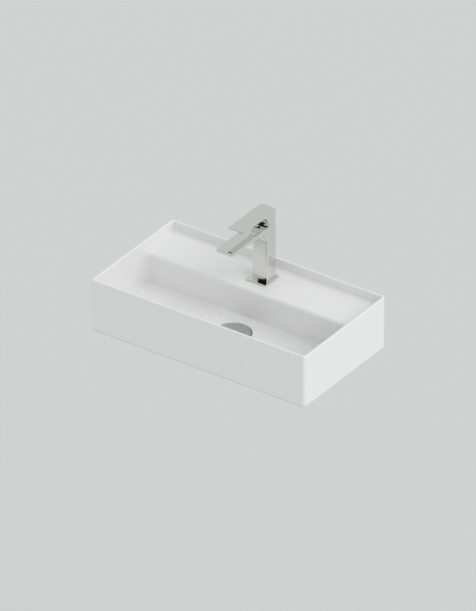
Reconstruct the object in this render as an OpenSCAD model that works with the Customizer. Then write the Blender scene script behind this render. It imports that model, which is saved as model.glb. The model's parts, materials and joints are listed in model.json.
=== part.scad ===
// Wall-hung washbasin with a ledge, a single-lever mixer tap and a push-open waste.
// X runs to the right, Y towards the wall and Z up. The back face is the plane y = 0,
// and the origin is midway between the two wall bolts on that face. Sizes are in millimetres.

/* [Basin outside] */
// Width of the basin over its outer faces
basin_w = 550; // [460:5:700]
// Depth of the basin from the wall to its front face
basin_d = 300; // [285:5:360]
// Depth of the bowl from the rim to the edge of its floor
bowl_depth = 97; // [92:1:130]
// Height of the foot below the edge of the bowl floor
foot_h = 28; // [24:0.5:40]
// Thickness of the walls at the rim
rim_t = 6; // [5:0.5:8]
// Radius of the outer upright edges
outer_r = 8; // [4:0.5:16]
// Radius of the inner upright edges
inner_r = 6; // [5:0.5:12]
// Rounding of both edges of the rim
rim_round = 2; // [1:0.25:2.4]
// Rounding of the outer edge of the foot
foot_round = 2; // [1:0.25:4]

/* [Ledge and bowl] */
// Drop from the rim to the top of the tap ledge
ledge_drop = 22; // [16:1:34]
// Depth of the ledge from the rear wall to the bowl
ledge_d = 107; // [98:1:114]
// Thickness of the ledge
ledge_t = 11; // [9:0.5:14]
// Rounding of the front edge of the ledge
ledge_round = 8; // [3:0.5:9]
// Cove between the ledge and the walls round it
tray_cove = 4; // [2:0.5:4.5]
// Radius of the bowl's rear upright corners
bowl_corner_r = 20; // [14:1:30]
// Cove between the floor of the bowl and its walls
bowl_cove = 7; // [6.5:0.5:13]
// Fall of the floor from its edge to the drain
floor_fall = 4.5; // [3:0.25:5]
// Radius of the front corners of that fall
fall_corner = 2; // [1:0.5:8]
// Thickness of the floor of the bowl
floor_t = 11; // [9:0.5:13]
// Thickness of the bowl's wall under the ledge
riser_t = 9; // [8:0.5:12]

/* [Basin underside] */
// Thickness of the rear wall that bears on the building
back_t = 12; // [10:0.5:16]
// Width of the foot under the front and the sides
foot_t = 12; // [10:0.5:18]
// Radius of the upright corners of the hollow underside
hollow_r = 12; // [6:1:20]
// Height of the wall bolts above the foot
bolt_h = 65; // [50:1:75]
// Distance between the two wall bolts
bolt_gap = 280; // [180:5:360]
// Diameter of the holes for the wall bolts
bolt_hole_d = 12; // [11:0.5:16]

/* [Drain] */
// Distance from the front face to the centre of the drain
drain_front = 131; // [126:1:136]
// Diameter of the hole for the waste
drain_hole_d = 46; // [44:0.5:48]
// Diameter of the recess that takes the cap
drain_recess_d = 82; // [80:0.5:90]
// Depth of that recess
drain_recess_h = 7; // [6.5:0.25:8]
// Diameter of the boss under the drain
drain_boss_d = 96; // [88:1:104]
// Thickness of the ceramic between the recess and the underside of the boss
drain_boss_t = 11.5; // [9:0.5:12.5]

/* [Tap outside] */
// Distance from the wall to the centre of the tap hole
tap_back = 58.5; // [50:0.5:66]
// Diameter of the tap hole
tap_hole_d = 35; // [34:0.5:37]
// Width of the base plate
plate_w = 50; // [46:1:56]
// Depth of the base plate
plate_d = 53; // [50:1:56]
// Thickness of the base plate
plate_t = 2.5; // [2:0.25:4]
// Distance from the tap hole centre forward to the middle of the base plate
plate_shift = 0.5; // [0:0.25:1.5]
// Radius of the corners of the base plate
plate_r = 2; // [1:0.5:4]
// Width of the bevel round the top of the base plate
plate_bevel = 0.8; // [0.4:0.1:1.2]
// Thickness of the seal under the base plate
plate_seal_t = 1; // [0.8:0.1:1.5]
// Width of the body and of the spout
body_w = 40; // [38:0.5:44]
// Distance from the tap hole centre to the front of the column
column_front = 13.5; // [13.5:0.5:16]
// Distance from the tap hole centre to the back of the column
column_back = 21; // [20.5:0.5:23]
// Height of the flat top of the body above the ledge
body_h = 137.5; // [134:0.5:160]
// Reach of the spout in front of the tap hole centre
reach = 144; // [128:1:160]
// Thickness of the spout at its tip
tip_t = 6.6; // [6.2:0.2:8]
// Slope of the underside of the spout, in degrees
spout_slope = 3.9; // [3:0.1:5]
// Radius of the bend between the spout and the column
bend_r = 20; // [14:1:26]
// Rounding of the front edges of the column and the lower edges of the spout
body_round = 5; // [3:0.5:5.5]
// Rounding of the rear edges of the column and of the lever
back_round = 4.5; // [2:0.5:6]
// Bevel along the top edges of the body and of the lever
top_bevel = 0.8; // [0.4:0.1:1.2]
// Rounding of the upright edges at the tips of the spout and the lever
tip_round = 1.2; // [0.6:0.1:2]

/* [Lever] */
// Gap between the top of the body and the hub of the lever
lever_gap = 2.3; // [2:0.1:3.5]
// Height from the underside of the hub to the top of the lever
lever_h = 28.7; // [26:0.1:32]
// Reach of the lever in front of the tap hole centre
lever_reach = 101; // [80:1:120]
// Thickness of the blade at its tip
blade_t = 3; // [2.5:0.1:4]
// Slope of the underside of the blade, in degrees
blade_slope = 0.9; // [0.5:0.1:1.5]
// Distance from the tap hole centre to the front of the hub
hub_front = 11; // [9:0.5:12]
// Radius of the bend between the hub and the blade
hub_bend_r = 18; // [12:1:20]
// Distance behind the lever's pivot at which the relief under the hub starts
relief_start = 0; // [-1:0.25:1]
// Slope of the relief that lets the hub tip back, in degrees
relief_slope = 25.5; // [25:0.25:28]
// Distance of the lever's back in front of the column's back
lever_in = 0.3; // [0:0.1:1]
// Height of the grub screw above the underside of the hub
grub_h = 14.2; // [13:0.1:16]
// Diameter of the grub screw
grub_d = 4.9; // [4:0.1:5.9]
// Length of the grub screw
grub_l = 9; // [7:0.5:10]
// Depth of the key's socket in the grub screw
socket_h = 3; // [2:0.25:4]
// Diameter of the plug over the grub screw
plug_d = 6.8; // [6.4:0.1:8]
// Depth of the plug
plug_t = 3; // [2:0.25:4]

/* [Lever travel] */
// Angle through which the lever lifts, in degrees
lift_angle = 23; // [15:1:23]
// Height of the lever's pivot below the top of the body
pivot_drop = 7.5; // [7:0.25:8.5]
// Length of the arm below the pivot
arm_l = 9.5; // [9:0.1:10]

/* [Cartridge] */
// Diameter of the bore for the cartridge
cart_bore_d = 26; // [25.6:0.1:26.6]
// Clearance round the housing of the cartridge
cart_clear = 0.1; // [0.05:0.01:0.15]
// Wall of the cartridge housing
cart_wall = 1.6; // [1.3:0.1:1.8]
// Height of the base of the housing
cart_base_h = 8; // [7.5:0.25:10]
// Height of the lips above and below the groove round the base
groove_lip = 1.5; // [1.2:0.1:1.8]
// Height of the chamber that holds the discs and the carrier
chamber_h = 12; // [11.8:0.05:12.2]
// Thickness of the shoulder of the housing
shoulder_t = 2.5; // [2:0.25:3]
// Height of the neck of the housing above the lever's pivot
neck_rise = 5; // [4.5:0.1:5.2]
// Wall of the neck of the housing
neck_wall = 1.35; // [1.2:0.05:1.5]
// Diameter of the neck of the rotor
rotor_d = 18; // [17.4:0.1:18.2]
// Running clearance of turning and sliding parts
run_clear = 0.05; // [0.03:0.01:0.08]
// Distance of the rotor above the neck of the housing
rotor_rise = 1; // [0.5:0.1:1.2]
// Gap between the carrier and the flange of the rotor
rotor_gap = 0.2; // [0.15:0.05:0.3]
// Clearance between the flange of the rotor and the wall of the chamber
flange_clear = 0.3; // [0.2:0.05:0.5]
// Length of the slot that the spindle swings in, behind the pivot
slot_back = 7.4; // [7:0.1:7.8]
// Length of the same slot in front of the pivot
slot_front = 7; // [6.7:0.1:7.4]
// Distance of the retaining nut below the top of the body
nut_drop = 0.4; // [0.2:0.1:1]
// Width of the notches for the key in the retaining nut
nut_notch_w = 3; // [2:0.25:4]
// Depth of those notches
nut_notch_h = 2; // [1:0.25:2.5]
// Thickness of the seal under the cartridge
cart_seal_t = 1; // [0.8:0.1:1.5]
// Distance of that seal's edge inside the housing
cart_seal_in = 0.5; // [0.3:0.1:1]

/* [Cartridge discs] */
// Thickness of the fixed disc
fixed_disc_t = 3; // [2.5:0.1:3.1]
// Thickness of the moving disc
moving_disc_t = 3; // [2.5:0.1:3.1]
// Diameter of the moving disc and of its carrier
moving_disc_d = 17.8; // [17.2:0.1:18]
// Thickness of the carrier above the moving disc
carrier_t = 3.4; // [3.2:0.1:3.5]
// Thickness of the carrier under the ball
pocket_floor = 0.6; // [0.5:0.05:0.8]
// Distance of the inlet ports from the middle, to each side
port_x = 5.6; // [5.3:0.1:5.8]
// Distance of the inlet ports in front of the middle
port_y = 2.5; // [2.2:0.1:2.8]
// Diameter of the inlet ports
port_d = 4.4; // [4:0.1:4.6]
// Distance of the outlet port behind the middle
outlet_y = 5; // [4.6:0.1:5.4]
// Diameter of the outlet port
outlet_d = 5.2; // [4.4:0.1:5.4]
// Diameter of the mixing chamber in the moving disc
mixing_d = 5.9; // [5.2:0.1:6.2]
// How far the mixing hollow lies off the outlet when the tap is shut
mixing_shift = 1; // [0.8:0.1:1.2]
// Depth of the mixing chamber in the moving disc
mixing_h = 1.6; // [1:0.1:2]

/* [Spindle] */
// Width and depth of the square shank
shank_w = 8; // [7.4:0.1:8.2]
// Width of the arm
arm_w = 7; // [5:0.1:7.2]
// Depth of the arm
arm_t = 5; // [4:0.1:5.2]
// Diameter of the ball at the end of the arm
ball_d = 5.2; // [4.6:0.1:5.4]
// Clearance round the ball in its pocket
ball_clear = 0.4; // [0.35:0.05:0.5]
// Diameter of the pivot pin
pin_d = 3; // [2.6:0.1:3.4]
// Distance of the ends of the pin inside the rotor
pin_in = 0.6; // [0.4:0.1:1]
// Side clearance of the spindle in the rotor
spindle_clear = 0.15; // [0.1:0.01:0.25]
// Height of the shank inside the hub of the lever
shank_in_hub = 18.2; // [17:0.1:20]

/* [Water ways] */
// Diameter of the drilled inlet passages
inlet_d = 5.2; // [4.6:0.1:5.3]
// Distance of the hose ports from the middle, to each side
hose_x = 7.3; // [7:0.1:7.5]
// Diameter of the hose ports
hose_d = 9; // [8.6:0.1:9.2]
// Depth of the hose ports
hose_port_h = 12; // [10:0.5:16]
// Width of the water way in the spout
channel_w = 22; // [14:0.5:24]
// Height of the water way in the spout
channel_h = 3; // [2.6:0.1:3.2]
// How far in front of the bend's centre the water way turns down to the cartridge
channel_turn = 2; // [0:0.5:4]
// Thickness of the spout above the water way
channel_roof = 2.4; // [2:0.1:2.6]
// Diameter of the aerator
aerator_d = 18; // [16:0.5:19]
// Distance from the tip of the spout to the centre of the aerator
aerator_in = 12; // [11:0.5:16]
// Height of the aerator's ring
aerator_h = 2.6; // [2:0.1:2.8]
// Wall of the aerator's ring
aerator_wall = 1.7; // [1.2:0.1:2]
// Clearance round the aerator's ring
aerator_clear = 0.05; // [0.03:0.01:0.08]
// Distance of the insert above the face of the ring
insert_in = 0.5; // [0.2:0.1:1]
// Radius of the circle of water holes, as a share of the insert's radius
jet_ring = 0.62; // [0.5:0.01:0.65]
// Diameter of the water holes in the aerator's insert
jet_d = 2.2; // [1.6:0.1:2.6]

/* [Tap fixing] */
// Diameter of the spigot that passes through the tap hole
spigot_d = 32; // [31.4:0.1:33]
// Clearance of holes that a part only passes through
pass_clear = 0.2; // [0.1:0.05:0.4]
// Length of the spigot below the top of the ledge
spigot_l = 8; // [6:0.5:8.5]
// Distance of the fixing stud in front of the tap hole centre
stud_front = 10.5; // [10.4:0.1:11]
// Diameter of the fixing stud
stud_d = 8; // [6:0.5:8]
// Length of the fixing stud below the spigot
stud_l = 44; // [40:1:70]
// Depth of the fixing stud in its hole in the spigot
stud_in = 11; // [8:0.5:11.5]
// Diameter of the horseshoe washer and of its gasket
horseshoe_d = 48; // [44:1:54]
// Width of the slot in the horseshoe
horseshoe_slot = 26; // [25:0.5:30]
// Gap between the horseshoe and the hoses
horseshoe_clear = 0.75; // [0.5:0.25:1.5]
// Thickness of the horseshoe gasket
gasket_t = 3; // [2:0.25:4]
// Thickness of the horseshoe washer
horseshoe_t = 2.5; // [2:0.25:4]
// Width across the flats of the fixing nut
nut_af = 13; // [12:0.5:13]
// Height of the fixing nut
nut_h = 20; // [12:1:26]

/* [Waste] */
// Diameter of the cap
cap_d = 76; // [72:0.5:79]
// Thickness of the cap
cap_t = 3; // [2.5:0.25:4]
// Rounding of the top edge of the cap
cap_round = 1; // [0.5:0.1:1.4]
// Height through which the cap rises
cap_travel = 8; // [6:0.5:10]
// Thickness of the seal under the cap
cap_seal_t = 1.5; // [1:0.25:2]
// Outer diameter of the seal under the cap
cap_seal_d = 60; // [56:0.5:61]
// Inner diameter of the seal under the cap
cap_seal_in_d = 50; // [46:0.5:53]
// Diameter of the flange of the waste
flange_d = 66; // [62:0.5:70]
// Thickness of the flange of the waste
flange_t = 2; // [1.5:0.25:2.5]
// Bevel of the flange's outer edge
flange_bevel = 0.6; // [0.3:0.1:1]
// Bevel of the mouth of the waste
mouth_bevel = 2; // [0.5:0.25:2.5]
// Distance of the seal's edge inside the flange
flange_seal_in = 1; // [0.5:0.25:2]
// Thickness of the seal under the flange
flange_seal_t = 1.5; // [1:0.25:2]
// Diameter of the threaded tail of the waste
tail_d = 41.9; // [40:0.1:42]
// Bevel of the end of the tail
tail_bevel = 0.8; // [0.4:0.1:1.2]
// Wall of the tail
tail_wall = 2.4; // [2:0.1:3]
// Width and depth of the groove that ends the thread for the back nut
tail_groove = 2; // [1:0.25:3]
// Length of the tail below the foot of the basin
tail_below = 45; // [30:1:75]
// Diameter of the seal and the back nut under the boss
back_nut_d = 62; // [56:0.5:68]
// Thickness of the seal under the boss
back_seal_t = 3; // [2:0.25:4]
// Thickness of the slip washer
slip_t = 1.5; // [1:0.25:2.5]
// Height of the back nut
back_nut_h = 9; // [7:0.5:12]
// Thickness of the collar of the back nut
nut_collar_t = 2.5; // [1.5:0.25:3]
// Diameter of the stem
stem_d = 8; // [7:0.1:8.5]
// Depth of the hub of the guide below the flange
guide_drop = 16; // [14:0.5:20]
// Distance of the ring and the arms of the guide below the top of its hub
arm_drop = 4; // [2:0.5:6]
// Height of the hub of the guide
guide_h = 18; // [14:0.5:22]
// Diameter of the hub of the guide
guide_d = 15; // [13:0.5:18]
// Height of the ring and the arms of the guide
arm_h = 8; // [6:0.5:10]
// Thickness of the ring of the guide
guide_ring_t = 1.8; // [1.4:0.1:2.5]
// Thickness of the arms of the guide
guide_arm_t = 3; // [2:0.25:4]
// Height of the boss under the cap
cap_boss_h = 5.5; // [4:0.25:7]
// Diameter of the boss under the cap
cap_boss_d = 14; // [13:0.5:18]
// Diameter of the wire of the spring
wire_d = 1.2; // [0.8:0.1:1.4]
// Gap between the stem and the spring
spring_gap = 0.6; // [0.4:0.1:1]
// Number of turns of the spring
spring_turns = 5; // [4:1:7]

/* [Hidden] */
$fn = 96;
// Overshoot of cutting solids
over = 1;
// Distance by which a rounding's circle runs past the body's faces, so that it crosses them
graze = 0.02;
// The same distance along the straight edges, where the rounding meets the one round the bend
long_graze = 0.07;
// Facets of the rounded solids inside a hull
hull_fn = 32;

// Colours of the finishes
white = [0.93, 0.94, 0.94];
chrome = [0.76, 0.76, 0.75];
brass = [0.76, 0.62, 0.32];
steel = [0.62, 0.63, 0.65];
rubber = [0.14, 0.14, 0.15];
plastic = [0.86, 0.86, 0.84];
blue_grey = [0.42, 0.47, 0.52];

// Heights of the basin
base_z = -bolt_h;
floor_z = base_z + foot_h;
rim_z = floor_z + bowl_depth;
ledge_z = rim_z - ledge_drop;
drain_floor_z = floor_z - floor_fall;
recess_z = drain_floor_z - drain_recess_h;
boss_z = recess_z - drain_boss_t;
// Faces of the basin in plan
half_w = basin_w / 2;
front_y = -basin_d;
in_x = half_w - rim_t;
in_front_y = front_y + rim_t;
in_back_y = -rim_t;
riser_y = in_back_y - ledge_d;
bay_y = riser_y + riser_t;
drain_y = front_y + drain_front;

// Heights of the tap, above the ledge
column_z = plate_seal_t + plate_t;
// Front of the base plate
plate_y = -plate_d / 2 - plate_shift;
tip_z = body_h - tip_t;
// Depth of the middle of the column, where the cartridge stands
cart_y = (column_back - column_front) / 2;
// Centre of the bend between the spout and the column
bend_y = -column_front - bend_r;
bend_z = tip_z - (bend_r + (bend_y + reach) * sin(spout_slope)) / cos(spout_slope);
// Heights of the cartridge, above the ledge
pivot_z = body_h - pivot_drop;
ball_z = pivot_z - arm_l;
carrier_z = ball_z - ball_d / 2 - ball_clear - pocket_floor;
moving_z = carrier_z - moving_disc_t;
fixed_z = moving_z - run_clear - fixed_disc_t;
housing_z = fixed_z - cart_base_h;
seat_z = housing_z - cart_seal_t;
shoulder_z = fixed_z + chamber_h;
neck_z = shoulder_z + shoulder_t;
neck_top_z = pivot_z + neck_rise;
housing_r = cart_bore_d / 2 - cart_clear;
chamber_r = housing_r - cart_wall;
neck_bore_r = rotor_d / 2 + run_clear;
neck_r = neck_bore_r + neck_wall;
// Distance that the lower end of the arm moves as the lever lifts
disc_travel = arm_l * sin(lift_angle);
disc_back = disc_travel / 2;
// Back of the lever's hub
lever_back = column_back - lever_in;
// Heights of the lever, above the ledge
hub_z = body_h + lever_gap;
lever_z = hub_z + lever_h;
hub_bend_y = -hub_front - hub_bend_r;
hub_bend_z = lever_z - blade_t
    - (hub_bend_r + (hub_bend_y + lever_reach) * sin(blade_slope)) / cos(blade_slope);
shank_top_z = hub_z + shank_in_hub;
grub_z = hub_z + grub_h;
// Water way and aerator
aerator_y = -reach + aerator_in;
aerator_z = tip_z - aerator_in * tan(spout_slope);
channel_z = body_h - channel_roof - channel_h;
groove_z = housing_z + groove_lip;
groove_h = cart_base_h - 2 * groove_lip;

// Heights of the waste
flange_z = recess_z + flange_seal_t;
flange_top_z = flange_z + flange_t;
cap_z = flange_top_z + run_clear + cap_seal_t;
cap_top_z = cap_z + cap_t;
tail_r = tail_d / 2;
tail_in_r = tail_r - tail_wall;
tail_z = base_z - tail_below;
back_nut_z = boss_z - back_seal_t - slip_t - back_nut_h;
guide_top_z = flange_top_z - guide_drop;
guide_z = guide_top_z - guide_h;
spring_h = cap_z - cap_boss_h - guide_top_z;

// A rectangle with rounded corners: radius rf at the front ones and rb at the back ones
module round_rect(x0, x1, y0, y1, rf, rb) {
    translate([x0 + rf, y0])
        square([x1 - x0 - 2 * rf, y1 - y0 - rb]);
    translate([x0, y0 + rf])
        square([x1 - x0, y1 - y0 - rf - rb]);
    translate([x0 + rb, y0 + rf])
        square([x1 - x0 - 2 * rb, y1 - y0 - rf]);
    for (x = [x0 + rf, x1 - rf])
        translate([x, y0 + rf])
            circle(rf);
    for (x = [x0 + rb, x1 - rb])
        translate([x, y1 - rb])
            circle(rb);
}

// Centre of the corner where side k of a rounded rectangle starts, going round from the front
function corner_at(x0, x1, y0, y1, r, k) =
    [k == 1 || k == 2 ? x1 - r : x0 + r, k >= 2 ? y1 - r : y0 + r, 0];

// A profile carried round the sides and corners of a rounded rectangle. The profile's x is
// the distance from the corner's centre, and its y is the height.
module carry_round(x0, x1, y0, y1, r, sides = [0:3], corners = [0:3]) {
    for (k = sides) {
        run = k % 2 == 0 ? x1 - x0 - 2 * r : y1 - y0 - 2 * r;
        translate(corner_at(x0, x1, y0, y1, r, k))
            rotate([0, 0, 90 * k - 90])
                translate([0, run, 0])
                    rotate([90, 0, 0])
                        linear_extrude(run)
                            children();
    }
    for (k = corners)
        translate(corner_at(x0, x1, y0, y1, r, (k + 1) % 4))
            rotate([0, 0, 90 * k - 90])
                rotate_extrude(angle = 90)
                    children();
}

// The waste left when an outer edge at the distance r and the height z is rounded by e.
// out is 1 when the solid lies inside r and -1 when it lies outside; up is the same in height.
module edge_waste(r, z, e, out, up) {
    translate([r, z])
        scale([out, up])
            difference() {
                translate([-e, -e])
                    square(e + over);
                translate([-e, -e])
                    circle(e);
            }
}

// Half of a pocket's section: a wall at the distance r, with a cove f to the floor
module cove_half(r, h, f) {
    intersection() {
        square([r, h]);
        union() {
            square([r - f, h]);
            translate([0, f])
                square([r, h - f]);
            translate([r - f, f])
                circle(f);
        }
    }
}

// A pocket with upright corners of radius r and a cove f round its floor
module cove_pocket(x0, x1, y0, y1, z, h, r, f) {
    carry_round(x0, x1, y0, y1, r)
        translate([0, z])
            cove_half(r, h, f);
    translate([x0 + r, y0 + r, z])
        cube([x1 - x0 - 2 * r, y1 - y0 - 2 * r, h]);
}

// The open space of the bowl. Its rear corners are wide, and its front ones follow the rim.
module bowl_space() {
    h = rim_z - floor_z + over;
    mid_y = riser_y - bowl_corner_r - 2 * over;
    carry_round(-in_x, in_x, mid_y - bowl_corner_r, riser_y, bowl_corner_r, [1:3], [1:2])
        translate([0, floor_z])
            cove_half(bowl_corner_r, h, bowl_cove);
    translate([bowl_corner_r - in_x, mid_y, floor_z])
        cube([2 * (in_x - bowl_corner_r), riser_y - bowl_corner_r - mid_y, h]);
    intersection() {
        translate([0, mid_y, floor_z])
            rotate([90, 0, 0])
                linear_extrude(mid_y - in_front_y)
                    round_rect(-in_x, in_x, 0, h + bowl_cove, bowl_cove, bowl_cove);
        translate([-in_x - over, 0, floor_z])
            rotate([90, 0, 90])
                linear_extrude(2 * (in_x + over))
                    translate([in_front_y, 0])
                        round_rect(0, mid_y - in_front_y + 2 * bowl_cove, 0, h + bowl_cove,
                            bowl_cove, bowl_cove);
        translate([0, 0, floor_z])
            linear_extrude(h)
                round_rect(-in_x, in_x, in_front_y, mid_y + 2 * inner_r, inner_r, inner_r);
    }
}

// The shallow fall of the floor, from the foot of the coves to the drain recess
module floor_fall_space() {
    hull() {
        translate([0, 0, floor_z])
            linear_extrude(floor_fall)
                round_rect(-in_x + bowl_cove, in_x - bowl_cove, in_front_y + bowl_cove,
                    riser_y - bowl_cove, fall_corner, bowl_corner_r - bowl_cove,
                    $fn = hull_fn);
        translate([0, drain_y, drain_floor_z])
            cylinder(h = floor_fall, d = drain_recess_d, $fn = hull_fn);
    }
}

// The hollow under the bowl and the higher bay under the ledge
module underside_space() {
    x = half_w - foot_t;
    y0 = front_y + foot_t;
    translate([0, 0, base_z - over])
        linear_extrude(foot_h - floor_t + over)
            round_rect(-x, x, y0, -back_t, hollow_r, hollow_r);
    translate([0, 0, base_z - over])
        linear_extrude(ledge_z - ledge_t - base_z + over)
            round_rect(-x, x, bay_y, -back_t, hollow_r, hollow_r);
}

module basin() {
    color(white)
    difference() {
        union() {
            difference() {
                translate([0, 0, base_z])
                    linear_extrude(rim_z - base_z)
                        round_rect(-half_w, half_w, front_y, 0, outer_r, outer_r);
                cove_pocket(-in_x, in_x, in_front_y, in_back_y, ledge_z,
                    ledge_drop + over, inner_r, tray_cove);
                bowl_space();
                // The rounded front edge of the ledge, which dies out along the side walls
                intersection() {
                    carry_round(-in_x, in_x, riser_y - 3 * bowl_corner_r, riser_y,
                        bowl_corner_r, [2], [1:2])
                        edge_waste(bowl_corner_r, ledge_z, ledge_round, -1, 1);
                    translate([-in_x, riser_y - 2 * bowl_corner_r, base_z])
                        cube([2 * in_x, 3 * bowl_corner_r, rim_z - base_z]);
                }
                underside_space();
                // Both edges of the rim and the outer edge of the foot
                carry_round(-half_w, half_w, front_y, 0, outer_r) {
                    union() {
                        edge_waste(outer_r, rim_z, rim_round, 1, 1);
                        edge_waste(outer_r, base_z, foot_round, 1, -1);
                    }
                }
                carry_round(-in_x, in_x, in_front_y, in_back_y, inner_r)
                    edge_waste(inner_r, rim_z, rim_round, -1, 1);
            }
            translate([0, drain_y, boss_z])
                cylinder(h = drain_floor_z - boss_z - over, d = drain_boss_d);
        }
        floor_fall_space();
        translate([0, drain_y, recess_z])
            cylinder(h = floor_z - recess_z + over, d = drain_recess_d);
        translate([0, drain_y, boss_z - over])
            cylinder(h = recess_z - boss_z + 2 * over, d = drain_hole_d);
        translate([0, -tap_back, ledge_z - ledge_t - over])
            cylinder(h = ledge_t + 2 * over, d = tap_hole_d);
        for (x = [-bolt_gap / 2, bolt_gap / 2])
            translate([x, over, 0])
                rotate([90, 0, 0])
                    cylinder(h = back_t + 2 * over, d = bolt_hole_d);
    }
}

// Places what is drawn round the tap hole, with z = 0 on the ledge
module at_tap() {
    translate([0, -tap_back, ledge_z])
        children();
}

// Places what is drawn round the cartridge's axis
module at_cartridge() {
    at_tap()
        translate([0, cart_y, 0])
            children();
}

// Extrudes a profile drawn in depth and height across a width, half to each side
module across(w) {
    rotate([90, 0, 90])
        translate([0, 0, -w / 2])
            linear_extrude(w)
                children();
}

module tap_base_seal() {
    inset = 1;
    x = plate_w / 2 - inset;
    color(rubber)
    at_tap()
        difference() {
            linear_extrude(plate_seal_t)
                round_rect(-x, x, plate_y + inset, plate_y + plate_d - inset, plate_r, plate_r);
            translate([0, 0, -over])
                cylinder(h = plate_seal_t + 2 * over, d = spigot_d + 2 * pass_clear);
        }
}

// The base plate, with the top edges of its four sides bevelled
module tap_base_plate() {
    y0 = plate_y;
    color(chrome)
    at_tap()
        difference() {
            intersection() {
                translate([0, 0, plate_seal_t])
                    linear_extrude(plate_t)
                        round_rect(-plate_w / 2, plate_w / 2, y0, y0 + plate_d, plate_r, plate_r);
                across(plate_w)
                    polygon([[y0, 0], [y0 + plate_d, 0],
                        [y0 + plate_d, column_z - plate_bevel],
                        [y0 + plate_d - plate_bevel, column_z],
                        [y0 + plate_bevel, column_z],
                        [y0, column_z - plate_bevel]]);
                translate([0, y0 + plate_d, 0])
                    rotate([90, 0, 0])
                        linear_extrude(plate_d)
                            polygon([[-plate_w / 2, 0], [plate_w / 2, 0],
                                [plate_w / 2, column_z - plate_bevel],
                                [plate_w / 2 - plate_bevel, column_z],
                                [plate_bevel - plate_w / 2, column_z],
                                [-plate_w / 2, column_z - plate_bevel]]);
            }
            translate([0, 0, -over])
                cylinder(h = column_z + 2 * over, d = spigot_d + 2 * pass_clear);
        }
}

// A side view with a thin arm, a bend under it and whatever follows the bend's foot. tip is the
// lower corner of the arm's end, and the underside falls from it to the bend by slope.
module bent_line(top_z, tip, bend, r, slope, rest) {
    touch = bend + r * [sin(slope), cos(slope)];
    difference() {
        polygon(concat([[tip[0], top_z], tip, touch, bend, [bend[0] + r, bend[1]]], rest));
        translate(bend)
            circle(r);
    }
}

// What the rounding takes off both edges at the distance bend_r from the bend's centre
module body_edge_waste(past) {
    for (side = [-1, 1])
        scale([1, side])
            translate([bend_r + body_round - past, body_w / 2 - body_round + graze])
                difference() {
                    translate([-body_round - over, 0])
                        square(body_round + over);
                    circle(body_round);
                }
}

// The same rounding carried up the column, round the bend and along the spout
module body_edges() {
    translate([0, bend_y, column_z - over])
        linear_extrude(bend_z - column_z + over)
            rotate(90)
                body_edge_waste(long_graze);
    translate([0, bend_y, bend_z])
        rotate([90, 0, 90])
            rotate_extrude()
                body_edge_waste(graze);
    translate([0, bend_y, bend_z])
        rotate([90 - spout_slope, 0, 0])
            linear_extrude(reach)
                rotate(90)
                    body_edge_waste(long_graze);
}

// The outside of the body: its side view across its width, its plan and its bevelled top
module body_outside() {
    difference() {
        intersection() {
            across(body_w)
                bent_line(body_h, [-reach, tip_z], [bend_y, bend_z], bend_r, spout_slope,
                    [[-column_front, column_z], [column_back, column_z], [column_back, body_h]]);
            translate([0, 0, column_z - over])
                linear_extrude(body_h - column_z + 2 * over)
                    round_rect(-body_w / 2, body_w / 2, -reach, column_back,
                        tip_round, back_round);
            top_limits(body_w, column_z - over, body_h, -reach - over, column_back + over);
        }
        body_edges();
    }
}

// A block between y0 and y1 whose two top edges are bevelled
module top_limits(w, z0, z1, y0, y1) {
    translate([0, y1, 0])
        rotate([90, 0, 0])
            linear_extrude(y1 - y0)
                polygon([[-w / 2, z0], [w / 2, z0], [w / 2, z1 - top_bevel],
                    [w / 2 - top_bevel, z1], [top_bevel - w / 2, z1], [-w / 2, z1 - top_bevel]]);
}

// The water way from the cartridge's groove to the aerator, in depth and height
module channel_line() {
    back_y = cart_y;
    turn_y = bend_y - channel_turn;
    polygon([[aerator_y, channel_z], [turn_y, channel_z],
        [back_y, groove_z + groove_h / 2 - channel_h / 2],
        [back_y, groove_z + groove_h / 2 + channel_h / 2],
        [turn_y, channel_z + channel_h], [aerator_y, channel_z + channel_h]]);
}

module tap_body() {
    color(chrome)
    at_tap()
        difference() {
            union() {
                body_outside();
                translate([0, 0, -spigot_l])
                    cylinder(h = spigot_l + column_z, d = spigot_d);
            }
            translate([0, cart_y, seat_z])
                cylinder(h = body_h - seat_z + over, d = cart_bore_d);
            across(channel_w)
                channel_line();
            translate([0, aerator_y, 0])
                cylinder(h = channel_z + channel_h, d = aerator_d + 2 * aerator_clear);
            for (side = [-1, 1]) {
                translate([side * port_x, cart_y - port_y, -spigot_l - over])
                    cylinder(h = seat_z + spigot_l + 2 * over, d = inlet_d);
                translate([side * hose_x, cart_y - port_y, -spigot_l - over])
                    cylinder(h = hose_port_h + over, d = hose_d);
            }
            translate([0, -stud_front, -spigot_l - over])
                cylinder(h = hose_port_h + over, d = stud_d + 2 * run_clear);
        }
}

module cartridge_seal() {
    color(rubber)
    at_cartridge()
        translate([0, 0, seat_z])
            difference() {
                cylinder(h = cart_seal_t, r = housing_r - cart_seal_in);
                for (side = [-1, 1])
                    translate([side * port_x, -port_y, -over])
                        cylinder(h = cart_seal_t + 2 * over, d = port_d);
            }
}

// The housing's section: a grooved base, a chamber for the discs, a shoulder and a neck
module housing_section() {
    groove_r = chamber_r;
    difference() {
        union() {
            translate([0, housing_z])
                square([housing_r, neck_z - housing_z]);
            translate([0, housing_z])
                square([neck_r, neck_top_z - housing_z]);
        }
        translate([groove_r, groove_z])
            square([housing_r, groove_h]);
        translate([0, fixed_z])
            square([chamber_r, chamber_h]);
        translate([0, fixed_z])
            square([neck_bore_r, neck_top_z - fixed_z + over]);
    }
}

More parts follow.
